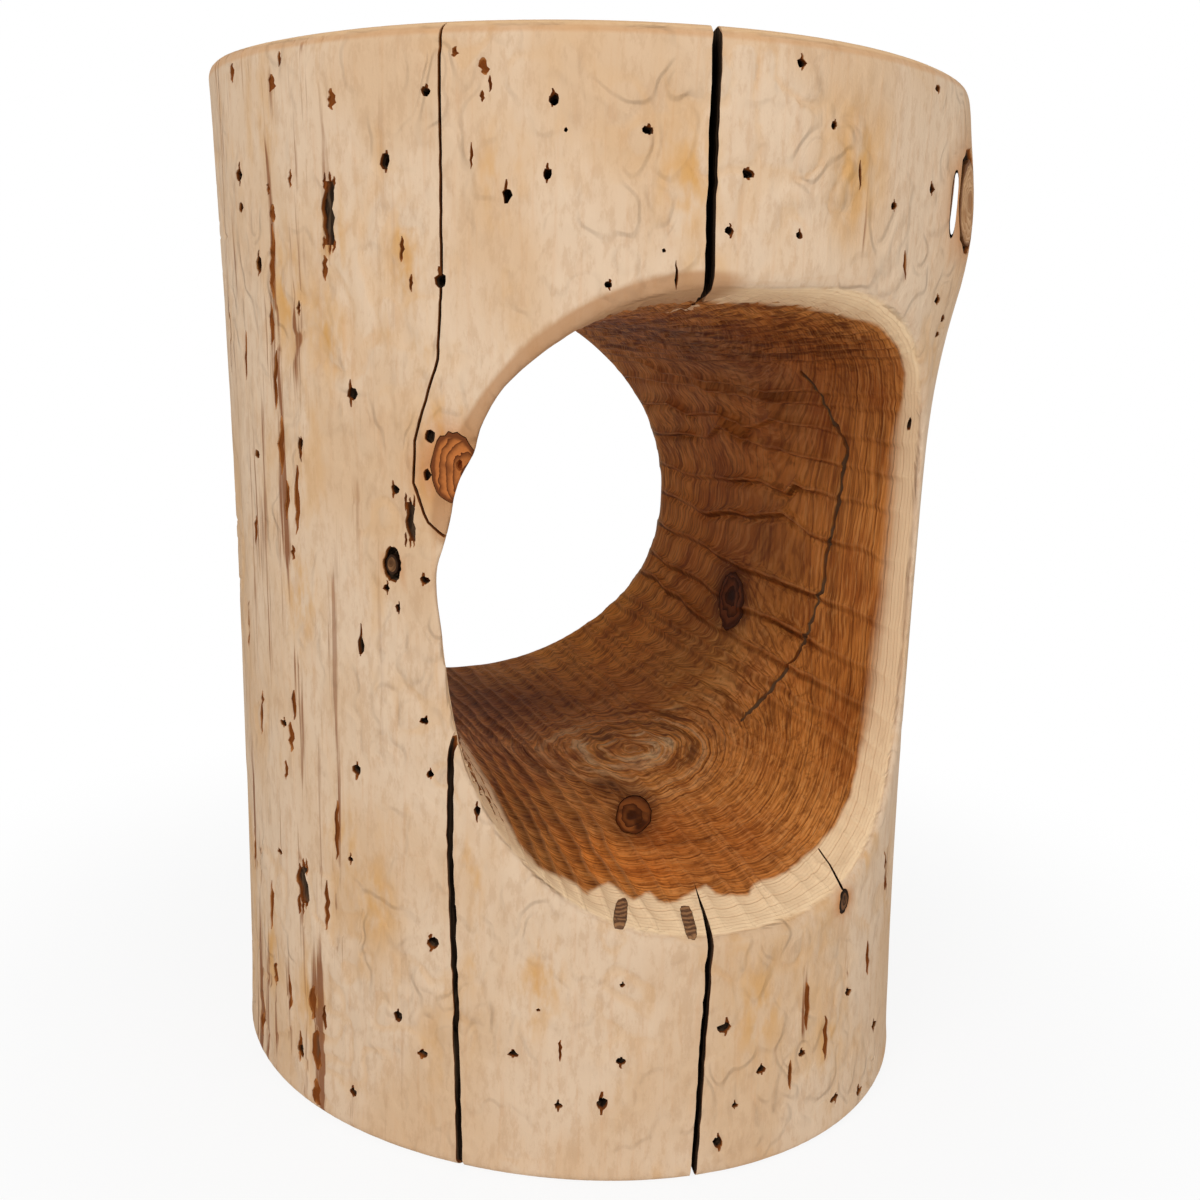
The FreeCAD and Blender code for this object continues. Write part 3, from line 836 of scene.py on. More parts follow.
def peg(center, axis, depth, width, tall, grow=0.0, ragged=KNOT_RAGGED, seed=0, square=1.0):
    """Rings of a tapered oval peg that is buried to a depth and stands proud; it may be squarish."""
    side, upright = crosswise(axis)
    luck = np.random.default_rng(seed)
    bumps = 1 + ragged * luck.uniform(-1, 1, KNOT_CORNERS)
    rings = []
    for place in (-depth, -depth / 2, -0.002, KNOT_PROUD):
        size = 1 + (1 - KNOT_TAPER) / depth * place
        ring = []
        for step in range(KNOT_CORNERS):
            bend = 2 * math.pi * step / KNOT_CORNERS
            over = squared_off(math.cos(bend), square) * (width / 2 * size + grow)
            up = squared_off(math.sin(bend), square) * (tall / 2 * size + grow)
            ring.append(center + axis * place + (side * over + upright * up) * bumps[step])
        rings.append(ring)
    return rings


BRANCH_TURN, LIP_TURN, SIDE_TURN, PIN_TURN = (math.radians(turn) for turn in (41.0, -37.8, -47.3, 22.1))
BRANCH_HEIGHT = LOG_HEIGHT - 0.050
branch_spot = log_point(BRANCH_TURN, BRANCH_HEIGHT)
lip_spot = log_point(LIP_TURN, HOLLOW_MIDDLE + 0.054)
side_spot = log_point(SIDE_TURN, HOLLOW_MIDDLE + 0.014)
pin_spot = log_point(PIN_TURN, lip_point(PIN_TURN)[2] - 0.008)
plug_spots = [lip_point(math.radians(turn), 0.011) for turn in (-13.5, -3.2)]
wall_way = outward(pith_turn(wall_spot) + math.pi, math.radians(-12))
KNOTS = {
    "branch_knot": (branch_spot, outward(BRANCH_TURN, math.radians(8)), 0.034, 0.026, 0.035),
    "lip_knot": (lip_spot, outward(LIP_TURN), 0.030, 0.018, 0.027),
    "side_knot": (side_spot, outward(SIDE_TURN), 0.013, 0.0055, 0.008),
    "wall_knot": (wall_spot, wall_way, 0.030, 0.022, 0.026),
    "floor_knot": (floor_spot, outward(pith_turn(floor_spot), math.radians(20)), 0.052, 0.016, 0.016),
    "pin_knot": (pin_spot, outward(pith_turn(pin_spot)), 0.016, 0.006, 0.011),
}
PLUGS = [(spot, outward(pith_turn(spot), math.radians(75)), 0.006, 0.0050, 0.020) for spot in plug_spots]
knot_pegs, plug_pegs, sockets = {}, [], []
for seed, (name, sizes) in enumerate(KNOTS.items(), KNOT_SEED):
    knot_pegs[name] = peg(*sizes, seed=seed)
    sockets.append(peg(*sizes, grow=SOCKET_GAP, seed=seed))
for seed, sizes in enumerate(PLUGS, PLUG_SEED):
    plug_pegs.append(peg(*sizes, seed=seed, square=PLUG_SQUARE))
    sockets.append(peg(*sizes, grow=PLUG_GAP, seed=seed, square=PLUG_SQUARE))
pockets = [peg(*KNOTS["branch_knot"][:2], 0.007, 0.031, 0.046, seed=541),
           peg(*KNOTS["side_knot"][:2], 0.006, 0.009, 0.015, ragged=0.08, seed=542)]

DAYLIGHT_GAP = 0.0026
DAYLIGHT_TALL = 0.027
DAYLIGHT_HALF = 0.048
DAYLIGHT_INSET = 0.0073
DAYLIGHT_CORNERS = 16
daylight_spot = log_point(BRANCH_TURN, BRANCH_HEIGHT, DAYLIGHT_INSET)
daylight_way = outward(math.radians(143), math.radians(5.5))
daylight_side, daylight_up = crosswise(daylight_way)
daylight_slot = []
for place in (-DAYLIGHT_HALF, DAYLIGHT_HALF):
    ring = []
    for step in range(DAYLIGHT_CORNERS):
        bend = 2 * math.pi * step / DAYLIGHT_CORNERS
        over = daylight_side * math.cos(bend) * DAYLIGHT_GAP / 2
        up = daylight_up * squared_off(math.sin(bend), 0.6) * DAYLIGHT_TALL / 2
        ring.append(daylight_spot + daylight_way * place + over + up)
    daylight_slot.append(ring)

log_mesh = sculpted_mesh
for shapes in (sockets + pockets + [daylight_slot], check_shapes, hole_shapes, streak_shapes):
    log_mesh = cut_all(log_mesh, shapes)
log_mesh = without_crumbs(log_mesh)

# The log's wood: pale sapwood outside a reddish brown heart, with fine growth rings about the pith that
# bend round the knots. Marks on the mesh say how far each ring is bent, how deep a point lies in a cut,
# where the outside is peeled, and where the heart is darker or yellower.
# Tints of the heart about the points that show at these pixels; the pale one about the pith, at (622, 750),
# is partly a painted sheen.
HEART_TONES = [
    ((622, 750), 0.024, (1.20, 1.40, 1.45)), ((560, 735), 0.022, (1.15, 1.25, 1.20)),
    ((700, 660), 0.030, (0.90, 1.0, 0.9)), ((500, 700), 0.042, (0.40, 0.29, 0.12)),
    ((700, 340), 0.045, (0.72, 0.84, 1.20)), ((800, 350), 0.035, (0.62, 0.48, 0.40)),
    ((870, 520), 0.040, (0.98, 0.92, 0.8)), ((850, 690), 0.045, (0.82, 0.70, 0.52)),
    ((720, 850), 0.030, (0.78, 0.58, 0.44)), ((612, 788), 0.010, (0.5, 0.42, 0.36)),
    ((668, 842), 0.012, (0.70, 0.46, 0.30)), ((600, 860), 0.016, (1.25, 0.95, 0.62)),
    ((760, 440), 0.030, (1.05, 1.02, 0.8)), ((600, 640), 0.040, (1.38, 1.36, 0.92)),
    ((735, 590), 0.016, (0.55, 0.44, 0.34)), ((655, 872), 0.010, (1.15, 0.80, 0.48)),
    ((690, 500), 0.030, (1.1, 1.05, 0.8)), ((700, 610), 0.014, (0.80, 0.72, 0.5)),
    ((780, 600), 0.022, (0.72, 0.68, 0.54)), ((790, 740), 0.030, (0.88, 0.80, 0.66)),
    ((770, 545), 0.022, (0.62, 0.57, 0.50)), ((850, 690), 0.030, (0.62, 0.50, 0.36)),
]
TONE_REST = 0.55
TONE_PULL = 1.6
TONE_LEVEL = 1.13
HEART_OUTLINE = [
    (578, 335), (615, 317), (653, 303), (701, 300), (749, 303), (797, 306), (844, 315), (880, 326),
    (897, 345), (905, 372), (903, 398), (898, 424), (895, 450), (891, 513), (886, 577), (882, 612),
    (877, 640), (870, 703), (859, 758), (851, 796), (835, 825), (817, 847), (787, 872), (752, 885),
    (749, 895), (717, 895), (707, 885), (682, 898), (663, 906), (650, 892), (634, 901), (621, 892),
    (608, 882), (586, 895), (580, 888), (564, 879), (538, 866), (519, 844), (498, 802), (471, 751),
    (456, 728), (436, 640), (428, 560), (455, 470), (500, 395), (545, 360),
]
SAP_LINE_PIXELS = [
    (560, 352), (590, 335), (620, 318), (660, 307), (700, 303), (740, 303), (790, 306), (840, 316),
    (880, 332), (905, 352), (915, 378), (908, 420), (898, 470), (890, 530), (880, 615), (875, 688),
    (868, 747), (850, 805), (822, 849), (786, 873), (748, 893), (704, 893), (675, 893), (663, 902),
    (639, 884), (628, 895), (590, 884), (581, 895), (563, 884), (540, 868), (519, 846), (505, 800),
    (480, 750), (462, 728),
]
SAP_SHARE_LIMIT = 0.955
BACK_SAP_SHARE = 0.985
END_SAP_SHARE = 0.87
SMUDGES = [
    ((707, 273), 0.006), ((470, 858), 0.003), ((475, 880), 0.003), ((473, 966), 0.004),
    ((402, 245), 0.007), ((405, 280), 0.006), ((330, 240), 0.007), ((325, 330), 0.010),
    ((285, 300), 0.012), ((300, 600), 0.010), ((430, 460), 0.010), ((440, 430), 0.008),
    ((375, 905), 0.010), ((540, 985), 0.010), ((690, 180), 0.010), ((860, 170), 0.012),
    ((760, 1010), 0.012), ((830, 1040), 0.010), ((860, 850), 0.006), ((865, 830), 0.006),
    ((310, 1000), 0.010), ((270, 950), 0.010), ((345, 850), 0.008), ((500, 180), 0.008),
    ((420, 353), 0.0035),
]
STREAK_BANDS = [
    (272, 55, 420, 8, 1.0), (290, 300, 570, 14, 0.9), (238, 60, 420, 6, 0.6), (331, 70, 115, 8, 0.8),
    (294, 640, 790, 12, 0.8), (335, 740, 960, 10, 0.5), (262, 900, 1060, 8, 0.9),
    (285, 940, 1060, 10, 0.8), (315, 950, 1115, 12, 1.0), (345, 1000, 1100, 8, 0.4),
    (807, 960, 1040, 7, 0.7), (845, 920, 1000, 8, 0.5), (485, 40, 100, 8, 0.7), (455, 35, 60, 5, 0.5),
    (862, 140, 270, 14, 0.4), (905, 120, 300, 10, 0.4), (560, 960, 1060, 15, 0.3),
    (885, 830, 900, 6, 0.6), (255, 500, 880, 5, 0.5),
]
FLOOR_SPOT_PIXEL = (612, 786)
SWIRL_PIXEL = (620, 745)
RING_RADIUS = 0.170


def ring_share(flat):
    """Share of the way from the pith to the bark, with the trunk taken as round."""
    away = flat - PITH
    leaning = away @ -PITH
    spread = RING_RADIUS ** 2 - PITH @ PITH
    return (-leaning + np.sqrt(leaning ** 2 + spread * np.sum(away ** 2, axis=1))) / spread


def true_share(points):
    """Share of the way from the pith to the bark, with the trunk's own outline."""
    turn, bark = round_log(points)
    share = 1 - bark / log_radius(turn, points[:, 2])
    return ring_share(np.stack([np.sin(turn), -np.cos(turn)], 1) * (share * RING_RADIUS)[:, None])


def apart_from(points, spot):
    """Distance of each point from a spot."""
    return np.linalg.norm(points - spot, axis=1)


def beyond_heart(points):
    """How far each point lies outside the heart that the photograph shows; less than nothing within it."""
    pixels, ahead = shown_at(points)
    nearest = np.full(len(points), np.inf)
    within = np.zeros(len(points), bool)
    outline = np.array(HEART_OUTLINE, float)
    for start, stop in zip(outline, np.roll(outline, -1, axis=0)):
        run = stop - start
        share = np.clip((pixels - start) @ run / (run @ run), 0, 1)
        nearest = np.minimum(nearest, np.linalg.norm(pixels - start - share[:, None] * run, axis=1))
        crosses = (start[1] > pixels[:, 1]) != (stop[1] > pixels[:, 1])
        meets = start[0] + (pixels[:, 1] - start[1]) * run[0] / (run[1] if run[1] else 1e-9)
        within ^= crosses & (pixels[:, 0] < meets)
    return np.where(within, -nearest, nearest) * ahead / PHOTO_FOCUS


def in_sight(point):
    """Whether nothing of the sculpted log stands between a point and the viewpoint."""
    way = Vector(point) - Vector(SIGHT_FROM)
    return sculpted_tree.ray_cast(Vector(SIGHT_FROM), way.normalized(), way.length - 0.003)[0] is None


sap_spots = np.array([touch(pixel) for pixel in SAP_LINE_PIXELS])
sap_angles = round_hollow(sap_spots)[0]
sap_order = np.argsort(sap_angles)
sap_shares = np.minimum(true_share(sap_spots)[sap_order], SAP_SHARE_LIMIT)
sap_angles = sap_angles[sap_order]


def past_sap_line(points, grown, near_hollow):
    """How far each point lies in the sapwood: by the photograph where that shows it, else by its ring."""
    bark = round_log(points)[1]
    angle = round_hollow(points)[0]
    sapline = np.interp(angle, sap_angles, sap_shares, period=2 * math.pi)
    sapline += (BACK_SAP_SHARE - sapline) * eased(points[:, 1], -0.03, 0.06)
    sapline = END_SAP_SHARE + (sapline - END_SAP_SHARE) * near_hollow
    ways = points - SIGHT_FROM
    facing = np.sum(into_wood(points) * ways, axis=1) / np.linalg.norm(ways, axis=1)
    shown = eased(facing, -0.08, 0.01) * eased(-points[:, 1], -0.06, 0.0) * near_hollow
    for number in np.flatnonzero(shown):
        shown[number] *= in_sight(points[number])
    hidden = grown - sapline - 0.2 * eased(bark, 0.020, 0.035) * near_hollow
    return (1 - shown) * hidden + shown * beyond_heart(points) / RING_RADIUS


def beside_knots(points):
    """How far the rings bend round the knots, and how near each point is to one or to the dark spot."""
    bend = np.zeros(len(points))
    halo = 0.9 * np.exp(-(apart_from(points, touch(FLOOR_SPOT_PIXEL)) / 0.009) ** 2)
    for center, axis, _, width, tall in KNOTS.values():
        away = points - center
        aside = np.linalg.norm(away - np.outer(away @ axis, axis), axis=1)
        size = (width + tall) / 4
        bend -= 0.09 * min(1, size / 0.010) * np.exp(-(aside / (1.7 * size)) ** 2)
        ring = np.exp(-(np.maximum(aside / size - 0.8, 0) / 0.75) ** 2)
        halo = np.maximum(halo, ring * (apart_from(points, center) < 4 * size))
    return bend, halo


def along_ridges(points, angle):
    """Marks of the gouging: the place between two ridges as sine and cosine, and how each ridge shows: its
    crest with a painted highlight, the painted shade under it, and the painted shade on the lee side of each
    flute on the left floor.
    """
    carved, across, width, strength = gouged(points)
    right_wall = on_right_wall(angle)
    left_floor = eased(-points[:, 0], -0.015, 0.035) * eased(-angle, 1.0, 1.3) * (angle > -2.9)
    return {
        "flute_sine": np.sin(2 * math.pi * across),
        "flute_cosine": np.cos(2 * math.pi * across),
        "flute_width": 1000 * width,
        "crest_and_highlight": strength * (0.22 + 0.50 * right_wall + 0.25 * left_floor),
        "shade": strength * (0.35 + 0.65 * right_wall),
        "painted_lee_shade": 0.5 * left_floor * (0.5 + strength),
        "bend": (2.5 - 5.5 * right_wall) * carved,
    }


def cut_depth(points):
    """How deep each point lies in a cut; in a drying check the depth is told from the check's own line."""
    depth = np.array([sculpted_tree.find_nearest(Vector(point))[3] for point in points])
    up = points[:, 2]
    # In a check the depth is raised towards the check's own depth, so that its walls take the painted shade
    # of a deep cut from the mouth down.
    for line, mouth, reach in CHECKS:
        heights = [height for _, height in reversed(line)]
        turns = np.interp(up, heights, [math.radians(turn) for turn, _ in reversed(line)])
        bark_line = np.stack([np.sin(turns), -np.cos(turns)], 1) * log_radius(turns, up)[:, None]
        bark_line[:, 0] += FOOT_SWEEP * (1 - up / LOG_HEIGHT) ** 2
        radial = bark_line - np.array(CHECK_PITH)
        radial /= np.linalg.norm(radial, axis=1)[:, None]
        away = bark_line - points[:, :2]
        below = np.sum(away * radial, axis=1)
        aside = np.abs(away[:, 0] * radial[:, 1] - away[:, 1] * radial[:, 0])
        in_check = (depth > 0.00015) & (aside < mouth) & (up > heights[0]) & (up < heights[-1])
        in_depth = np.maximum(depth, 0.0005 + 60 * reach * np.minimum(below, reach))
        depth = np.where(in_check, in_depth, depth)
    return depth


def heart_tone(points):
    """Colour that the heart is multiplied by at each point."""
    weight = np.full(len(points), TONE_REST)
    total = np.full((len(points), 3), TONE_REST)
    for pixel, size, colour in HEART_TONES:
        pull = TONE_PULL * np.exp(-(apart_from(points, touch(pixel)) / size) ** 2)
        weight += pull
        total += pull[:, None] * np.array(colour)
    tone = np.ones((len(points), 4))
    tone[:, :3] = TONE_LEVEL * total / weight[:, None]
    return tone


def streaked(points, turn):
    """How streaky the outside is at each point: on the left limb, at the back, and in the bands."""
    limb = 0.35 * np.exp(-((np.degrees(turn) + 72) / 26) ** 2) + 0.3 * eased(np.abs(turn), 1.9, 2.2)
    up = points[:, 2]
    for x, top, bottom, half, strength in STREAK_BANDS:
        upper, lower = seen((x, top)), seen((x, bottom))
        ends = round_log(np.array((lower, upper)))[0]
        line = np.interp(up, (lower[2], upper[2]), ends)
        scale = np.linalg.norm(upper - SIGHT_FROM) / PHOTO_FOCUS
        wide = half * scale / max(0.3, abs(np.dot(outward(ends[0]), sight((x, top)))))
        fade = eased(up, lower[2] - 0.008, lower[2] + 0.012)
        fade *= eased(-up, -upper[2] - 0.008, -upper[2] + 0.012)
        limb = np.maximum(limb, strength * np.exp(-((turn - line) * RING_RADIUS / wide) ** 2) * fade)
    return limb


def marked(mesh):
    """Puts the wood's marks on a mesh's points."""
    points = corners(mesh)
    along = points[:, 1]
    turn, bark = round_log(points)
    angle, wall = round_hollow(points)
    near_hollow = eased(-wall, -0.05, -0.03)
    grown = true_share(points)
    bend, halo = beside_knots(points)
    bend += grown - ring_share(points[:, :2])
    marks = {"bend": bend, "halo": halo, "sapside": past_sap_line(points, grown, near_hollow)}

    for name in ("flute_sine", "flute_cosine", "flute_width", "crest_and_highlight", "shade", "painted_lee_shade", "gallery"):
        marks[name] = np.zeros(len(points))
    marks["flute_cosine"] -= 1
    near = np.flatnonzero((bark > 0.002) & (np.abs(wall) < 0.008))
    for name, values in along_ridges(points[near], angle[near]).items():
        marks[name][near] = values + (bend[near] if name == "bend" else 0)
    near = np.flatnonzero(np.abs(bark) < 0.004)
    marks["gallery"][near] = peeled(points[near])[1]

    marks["outer"] = eased(-bark, -0.0035, -0.0022)
    marks["depth"] = 1000 * cut_depth(points)
    marks["limb"] = streaked(points, turn)
    marks["soft"] = 0.007 + 0.020 * eased(angle, -0.75, -0.5) * eased(-angle, -0.7, -0.5)
    # Painted shade: the lip under the upper left arch of the front mouth is darkened to tan.
    arch = eased(angle, 1.40, 1.80) * eased(-angle, -3.0, -2.75) * eased(-along, 0.0, 0.04)
    marks["lip"] = arch * np.exp(-(np.maximum(wall, 0) / 0.008) ** 4)
    ceiling = eased(angle, 0.72, 0.95) * eased(-angle, -2.2, -1.9)
    marks["torn"] = ceiling * eased(bark, 0.01, 0.03) * near_hollow
    vivid = 1 - 0.5 * eased(angle, -0.75, -0.45) * eased(-angle, -2.4, -2.2) * eased(along, -0.10, -0.04)
    marks["vivid"] = vivid * (1 - 0.6 * eased(-angle, 0.5, 0.8) * eased(along, -0.01, 0.05))
    marks["swirl"] = np.exp(-(apart_from(points, touch(SWIRL_PIXEL)) / 0.042) ** 2)
    dusty = [np.exp(-(apart_from(points, spot) / 0.016) ** 4) for spot in wall_check_points]
    marks["dusty"] = np.max(dusty, axis=0)
    flattened = np.array((1, 1, 0.55))
    smudges = [np.exp(-(apart_from(points * flattened, touch(pixel) * flattened) / size) ** 2)
               for pixel, size in SMUDGES]
    marks["smudge"] = np.max(smudges, axis=0)
    for name, values in marks.items():
        data = mesh.attributes.new(name, "FLOAT", "POINT").data
        data.foreach_set("value", values.astype(np.float32))
    data = mesh.attributes.new("tone", "FLOAT_COLOR", "POINT").data
    data.foreach_set("color", heart_tone(points).astype(np.float32).ravel())


class Finish:
    """Short ways to add the nodes of a material."""

    def __init__(self, name):
        self.material = bpy.data.materials.new(name)
        self.material.use_nodes = True
        self.tree = self.material.node_tree
        self.shader = self.tree.nodes["Principled BSDF"]
        self.place = self.add("TexCoord").outputs["Object"]

    def add(self, kind, inputs=(), **settings):
        node = self.tree.nodes.new("ShaderNode" + kind)
        for setting, value in settings.items():
            setattr(node, setting, value)
        for socket, value in dict(inputs).items():
            self.feed(node.inputs[socket], value)
        return node

    def feed(self, socket, value):
        if isinstance(value, bpy.types.NodeSocket):
            self.tree.links.new(value, socket)
        else:
            socket.default_value = value

    def reckon(self, operation, first, second=0.0, third=0.0, clamp=False):
        node = self.add("Math", {0: first, 1: second, 2: third}, operation=operation, use_clamp=clamp)
        return node.outputs[0]

    def times(self, first, second):
        return self.reckon("MULTIPLY", first, second)

    def onto(self, base, signal, amount):
        return self.reckon("MULTIPLY_ADD", signal, amount, base)

    def hypotenuse(self, one, other):
        return self.reckon("SQRT", self.onto(self.times(other, other), one, one))

    def vector(self, operation, first, second=(0, 0, 0)):
        node = self.add("VectorMath", {0: first, 1: second}, operation=operation)
        return node.outputs["Value" if operation in ("DOT_PRODUCT", "LENGTH") else "Vector"]

    def mark(self, name, colour=False):
        return self.add("Attribute", attribute_name=name).outputs["Color" if colour else "Fac"]

    def cloud(self, scale, detail=2.0, stretch=None, rough=0.5, place=None):
        place = place or self.place
        if stretch:
            place = self.vector("MULTIPLY", place, stretch)
        node = self.add("TexNoise", {"Vector": place, "Scale": scale, "Detail": detail, "Roughness": rough})
        return node.outputs["Fac"]

    def sway(self, *sizes):
        return self.reckon("SUBTRACT", self.cloud(*sizes), 0.5)

    def ease(self, value, low, high, start=0.0):
        ends = {"Value": value, "From Min": low, "From Max": high, "To Min": start}
        return self.add("MapRange", ends, interpolation_type="SMOOTHSTEP").outputs["Result"]

    def mix(self, share, first, second, blend="MIX"):
        node = self.add("Mix", data_type="RGBA", blend_type=blend)
        for socket, value in ((0, share), (6, first), (7, second)):
            self.feed(node.inputs[socket], value)
        return node.outputs[2]

    def washed(self, colour, washes):
        for share, amount, wash in washes:
            colour = self.mix(self.times(share, amount), colour, wash)
        return colour

    def settle(self, colour, roughness, height, strength, distance):
        bump = self.add("Bump", {"Height": height, "Strength": strength, "Distance": distance})
        looks = {"Base Color": colour, "Roughness": roughness, "Normal": bump.outputs["Normal"]}
        for socket, value in looks.items():
            self.feed(self.shader.inputs[socket], value)


def tint(*screen):
    """A colour as it looks on a screen, made ready for a shader."""
    shares = [part / 255 for part in screen]
    return tuple(part / 12.92 if part < 0.04 else ((part + 0.055) / 1.055) ** 2.4 for part in shares) + (1,)


SAP_PALE = tint(226, 198, 168)
SAP_WARM = tint(218, 184, 148)
SAP_GRIT = tint(198, 160, 124)
SAP_CUT = tint(255, 223, 180)
SAP_LINE = tint(202, 142, 88)
SAP_STAIN = tint(214, 162, 98)
SAP_TOP = tint(208, 150, 94)
SAP_HALO = tint(198, 130, 72)
# Painted shade for the lip under the upper arch.
SAP_LIP_SHADE = tint(184, 136, 94)
HEART_EARLY = tint(210, 138, 70)
HEART_LATE = tint(92, 46, 18)
HEART_RED = tint(160, 88, 38)
SPELL_DARK = tint(100, 54, 24)
SPELL_PALE = tint(222, 158, 92)
# Pale swirl streaks about the pith: partly their grain, partly a painted sheen.
SWIRL_PALE_SHEEN = tint(226, 196, 152)
SWIRL_DARK = tint(70, 40, 19)
HALO_DARK = tint(84, 40, 17)
TORN_DARK = tint(88, 40, 18)
UPRIGHT_DARK = tint(110, 58, 24)
GRAIN_DARK = tint(98, 50, 21)
GRAIN_PALE = tint(234, 172, 106)
# Painted shade under the gouge ridges and on the lee side of the flutes, and a painted highlight on the
# ridges' crests.
RIDGE_SHADE = tint(58, 28, 12)
RIDGE_HIGHLIGHT = tint(200, 138, 86)
STREAK_BROWN = tint(130, 70, 28)
STREAK_AMBER = tint(186, 120, 62)
# Dirt and painted shade deep in the checks and holes.
DEEP_DIRT_AND_SHADE = tint(44, 33, 24)
DEEP_GREY_DIRT_AND_SHADE = tint(92, 72, 54)
CHECK_DUST = tint(112, 84, 60)
OILED_SHINE = 0.06
RINGS = 72.0
RING_CROWDING = 1.25
TOP_BAND = (LOG_HEIGHT - 0.0066, LOG_HEIGHT - 0.0048)
SAWN_BAND = (LOG_HEIGHT / 2 - 0.0010, LOG_HEIGHT / 2 - 0.0004)

# Its growth rings: the share of the way from the pith to the bark, bent and made to wander, is counted
# off into years, each of which ends in a dark late line.
wood = Finish("log_wood")
parts = wood.add("SeparateXYZ", {0: wood.place}).outputs
x, y, z = parts[0], parts[1], parts[2]
away_x = wood.reckon("SUBTRACT", x, float(PITH[0]))
away_y = wood.reckon("SUBTRACT", y, float(PITH[1]))
leaning = wood.onto(wood.times(away_y, float(-PITH[1])), away_x, float(-PITH[0]))
squared = wood.onto(wood.times(away_y, away_y), away_x, away_x)
spread = float(RING_RADIUS ** 2 - PITH @ PITH)
rooted = wood.reckon("SQRT", wood.onto(wood.times(squared, spread), leaning, leaning))
share = wood.reckon("DIVIDE", wood.reckon("SUBTRACT", rooted, leaning), spread)
share = wood.reckon("ADD", share, wood.mark("bend"))
swirl = wood.mark("swirl")
marbled = wood.times(wood.sway(38.0), swirl)
for wander, amount in ((wood.sway(14.0), 0.035), (wood.sway(85.0), 0.010), (marbled, 0.07)):
    share = wood.onto(share, wander, amount)
rings = wood.times(wood.reckon("POWER", wood.reckon("MAXIMUM", share, 0.0), RING_CROWDING), RINGS)
within = wood.reckon("FRACT", rings)
late = wood.times(wood.reckon("POWER", within, 2.2), wood.ease(within, 1.0, 0.86))
year = wood.reckon("FLOOR", rings)
yearly = wood.add("TexWhiteNoise", {"W": year}, noise_dimensions="1D").outputs["Value"]
boldness = wood.onto(0.28, wood.reckon("POWER", yearly, 1.6), 1.15)
late = wood.reckon("MULTIPLY", late, boldness, clamp=True)
around = wood.onto(wood.times(away_y, 22.0), z, 14.0)
along_ring = {0: wood.times(rings, 0.42), 1: wood.times(away_x, 22.0), 2: around}
along_ring = wood.add("CombineXYZ", along_ring).outputs[0]

from_middle = wood.reckon("ABSOLUTE", wood.reckon("SUBTRACT", z, LOG_HEIGHT / 2))
sawn = wood.ease(from_middle, *SAWN_BAND)
outer = wood.times(wood.mark("outer"), wood.reckon("SUBTRACT", 1.0, sawn))
cut_face = wood.reckon("SUBTRACT", 1.0, outer)
halo = wood.mark("halo")
fibre = wood.cloud(420.0, 3.0, (1, 1, 0.06))
grit = wood.cloud(230.0, 4.0, (1, 1, 0.4), 0.7)

# Its heart: early and late wood, darker and paler spells along the rings, the swirl on the floor, torn
# fibres under the ceiling, the painted shade under each gouge ridge and on the lee side of each flute, and
# the painted highlight along each ridge's crest.
spells = wood.cloud(1.0, 3.0, rough=0.55, place=along_ring)
grain = wood.cloud(4.5, 2.0, rough=0.6, place=along_ring)
fibres = wood.cloud(330.0, 4.0, (1, 0.07, 1), 0.65)
upright = wood.cloud(300.0, 3.0, (1, 1, 0.03), 0.6)
torn = wood.times(wood.ease(fibres, 0.46, 0.62), wood.mark("torn"))
heart = wood.mix(wood.times(late, wood.mark("vivid")), HEART_EARLY, HEART_LATE)
heart = wood.washed(heart, [
    (wood.ease(spells, 0.50, 0.70), wood.onto(0.50, swirl, 0.35), SPELL_DARK),
    (wood.ease(spells, 0.46, 0.30), 0.40, SPELL_PALE),
    # Pale streaks in the swirl about the pith: partly its grain, partly a painted sheen.
    (wood.ease(spells, 0.50, 0.36), wood.times(swirl, 0.95), SWIRL_PALE_SHEEN),
    (wood.ease(spells, 0.52, 0.62), wood.times(swirl, 0.85), SWIRL_DARK),
    (wood.ease(wood.cloud(40.0, 3.0), 0.42, 0.70), 0.6, HEART_RED),
    (halo, 0.85, HALO_DARK),
    (torn, 0.75, TORN_DARK),
    (wood.ease(upright, 0.50, 0.66), 0.45, UPRIGHT_DARK),
    (wood.ease(grain, 0.50, 0.66), 0.42, GRAIN_DARK),
    (wood.ease(grain, 0.48, 0.34), 0.38, GRAIN_PALE),
])
heart = wood.mix(1.0, heart, wood.mark("tone", colour=True), "MULTIPLY")
flute = wood.reckon("ARCTAN2", wood.mark("flute_sine"), wood.mark("flute_cosine"))
flute = wood.reckon("DIVIDE", flute, 2 * math.pi)
ridge_gap = wood.times(flute, wood.mark("flute_width"))
# Painted light on the gouging: a paler painted highlight along the crest of each ridge, painted shade under
# each ridge, and painted shade on the lee side of each flute on the left floor, darker towards the ridge
# above.
crest_and_highlight = wood.times(wood.ease(wood.reckon("ABSOLUTE", ridge_gap), 1.3, 0.3), wood.mark("crest_and_highlight"))
below_ridge = wood.reckon("ABSOLUTE", wood.reckon("ADD", ridge_gap, 2.2))
under = wood.times(wood.ease(below_ridge, 2.0, 0.4), wood.mark("shade"))
painted_lee_shade = wood.times(wood.ease(wood.reckon("FRACT", flute), 0.35, 0.95), wood.mark("painted_lee_shade"))
heart = wood.mix(wood.reckon("MAXIMUM", wood.times(under, 0.95), painted_lee_shade), heart, RIDGE_SHADE)
heart = wood.mix(crest_and_highlight, heart, RIDGE_HIGHLIGHT)

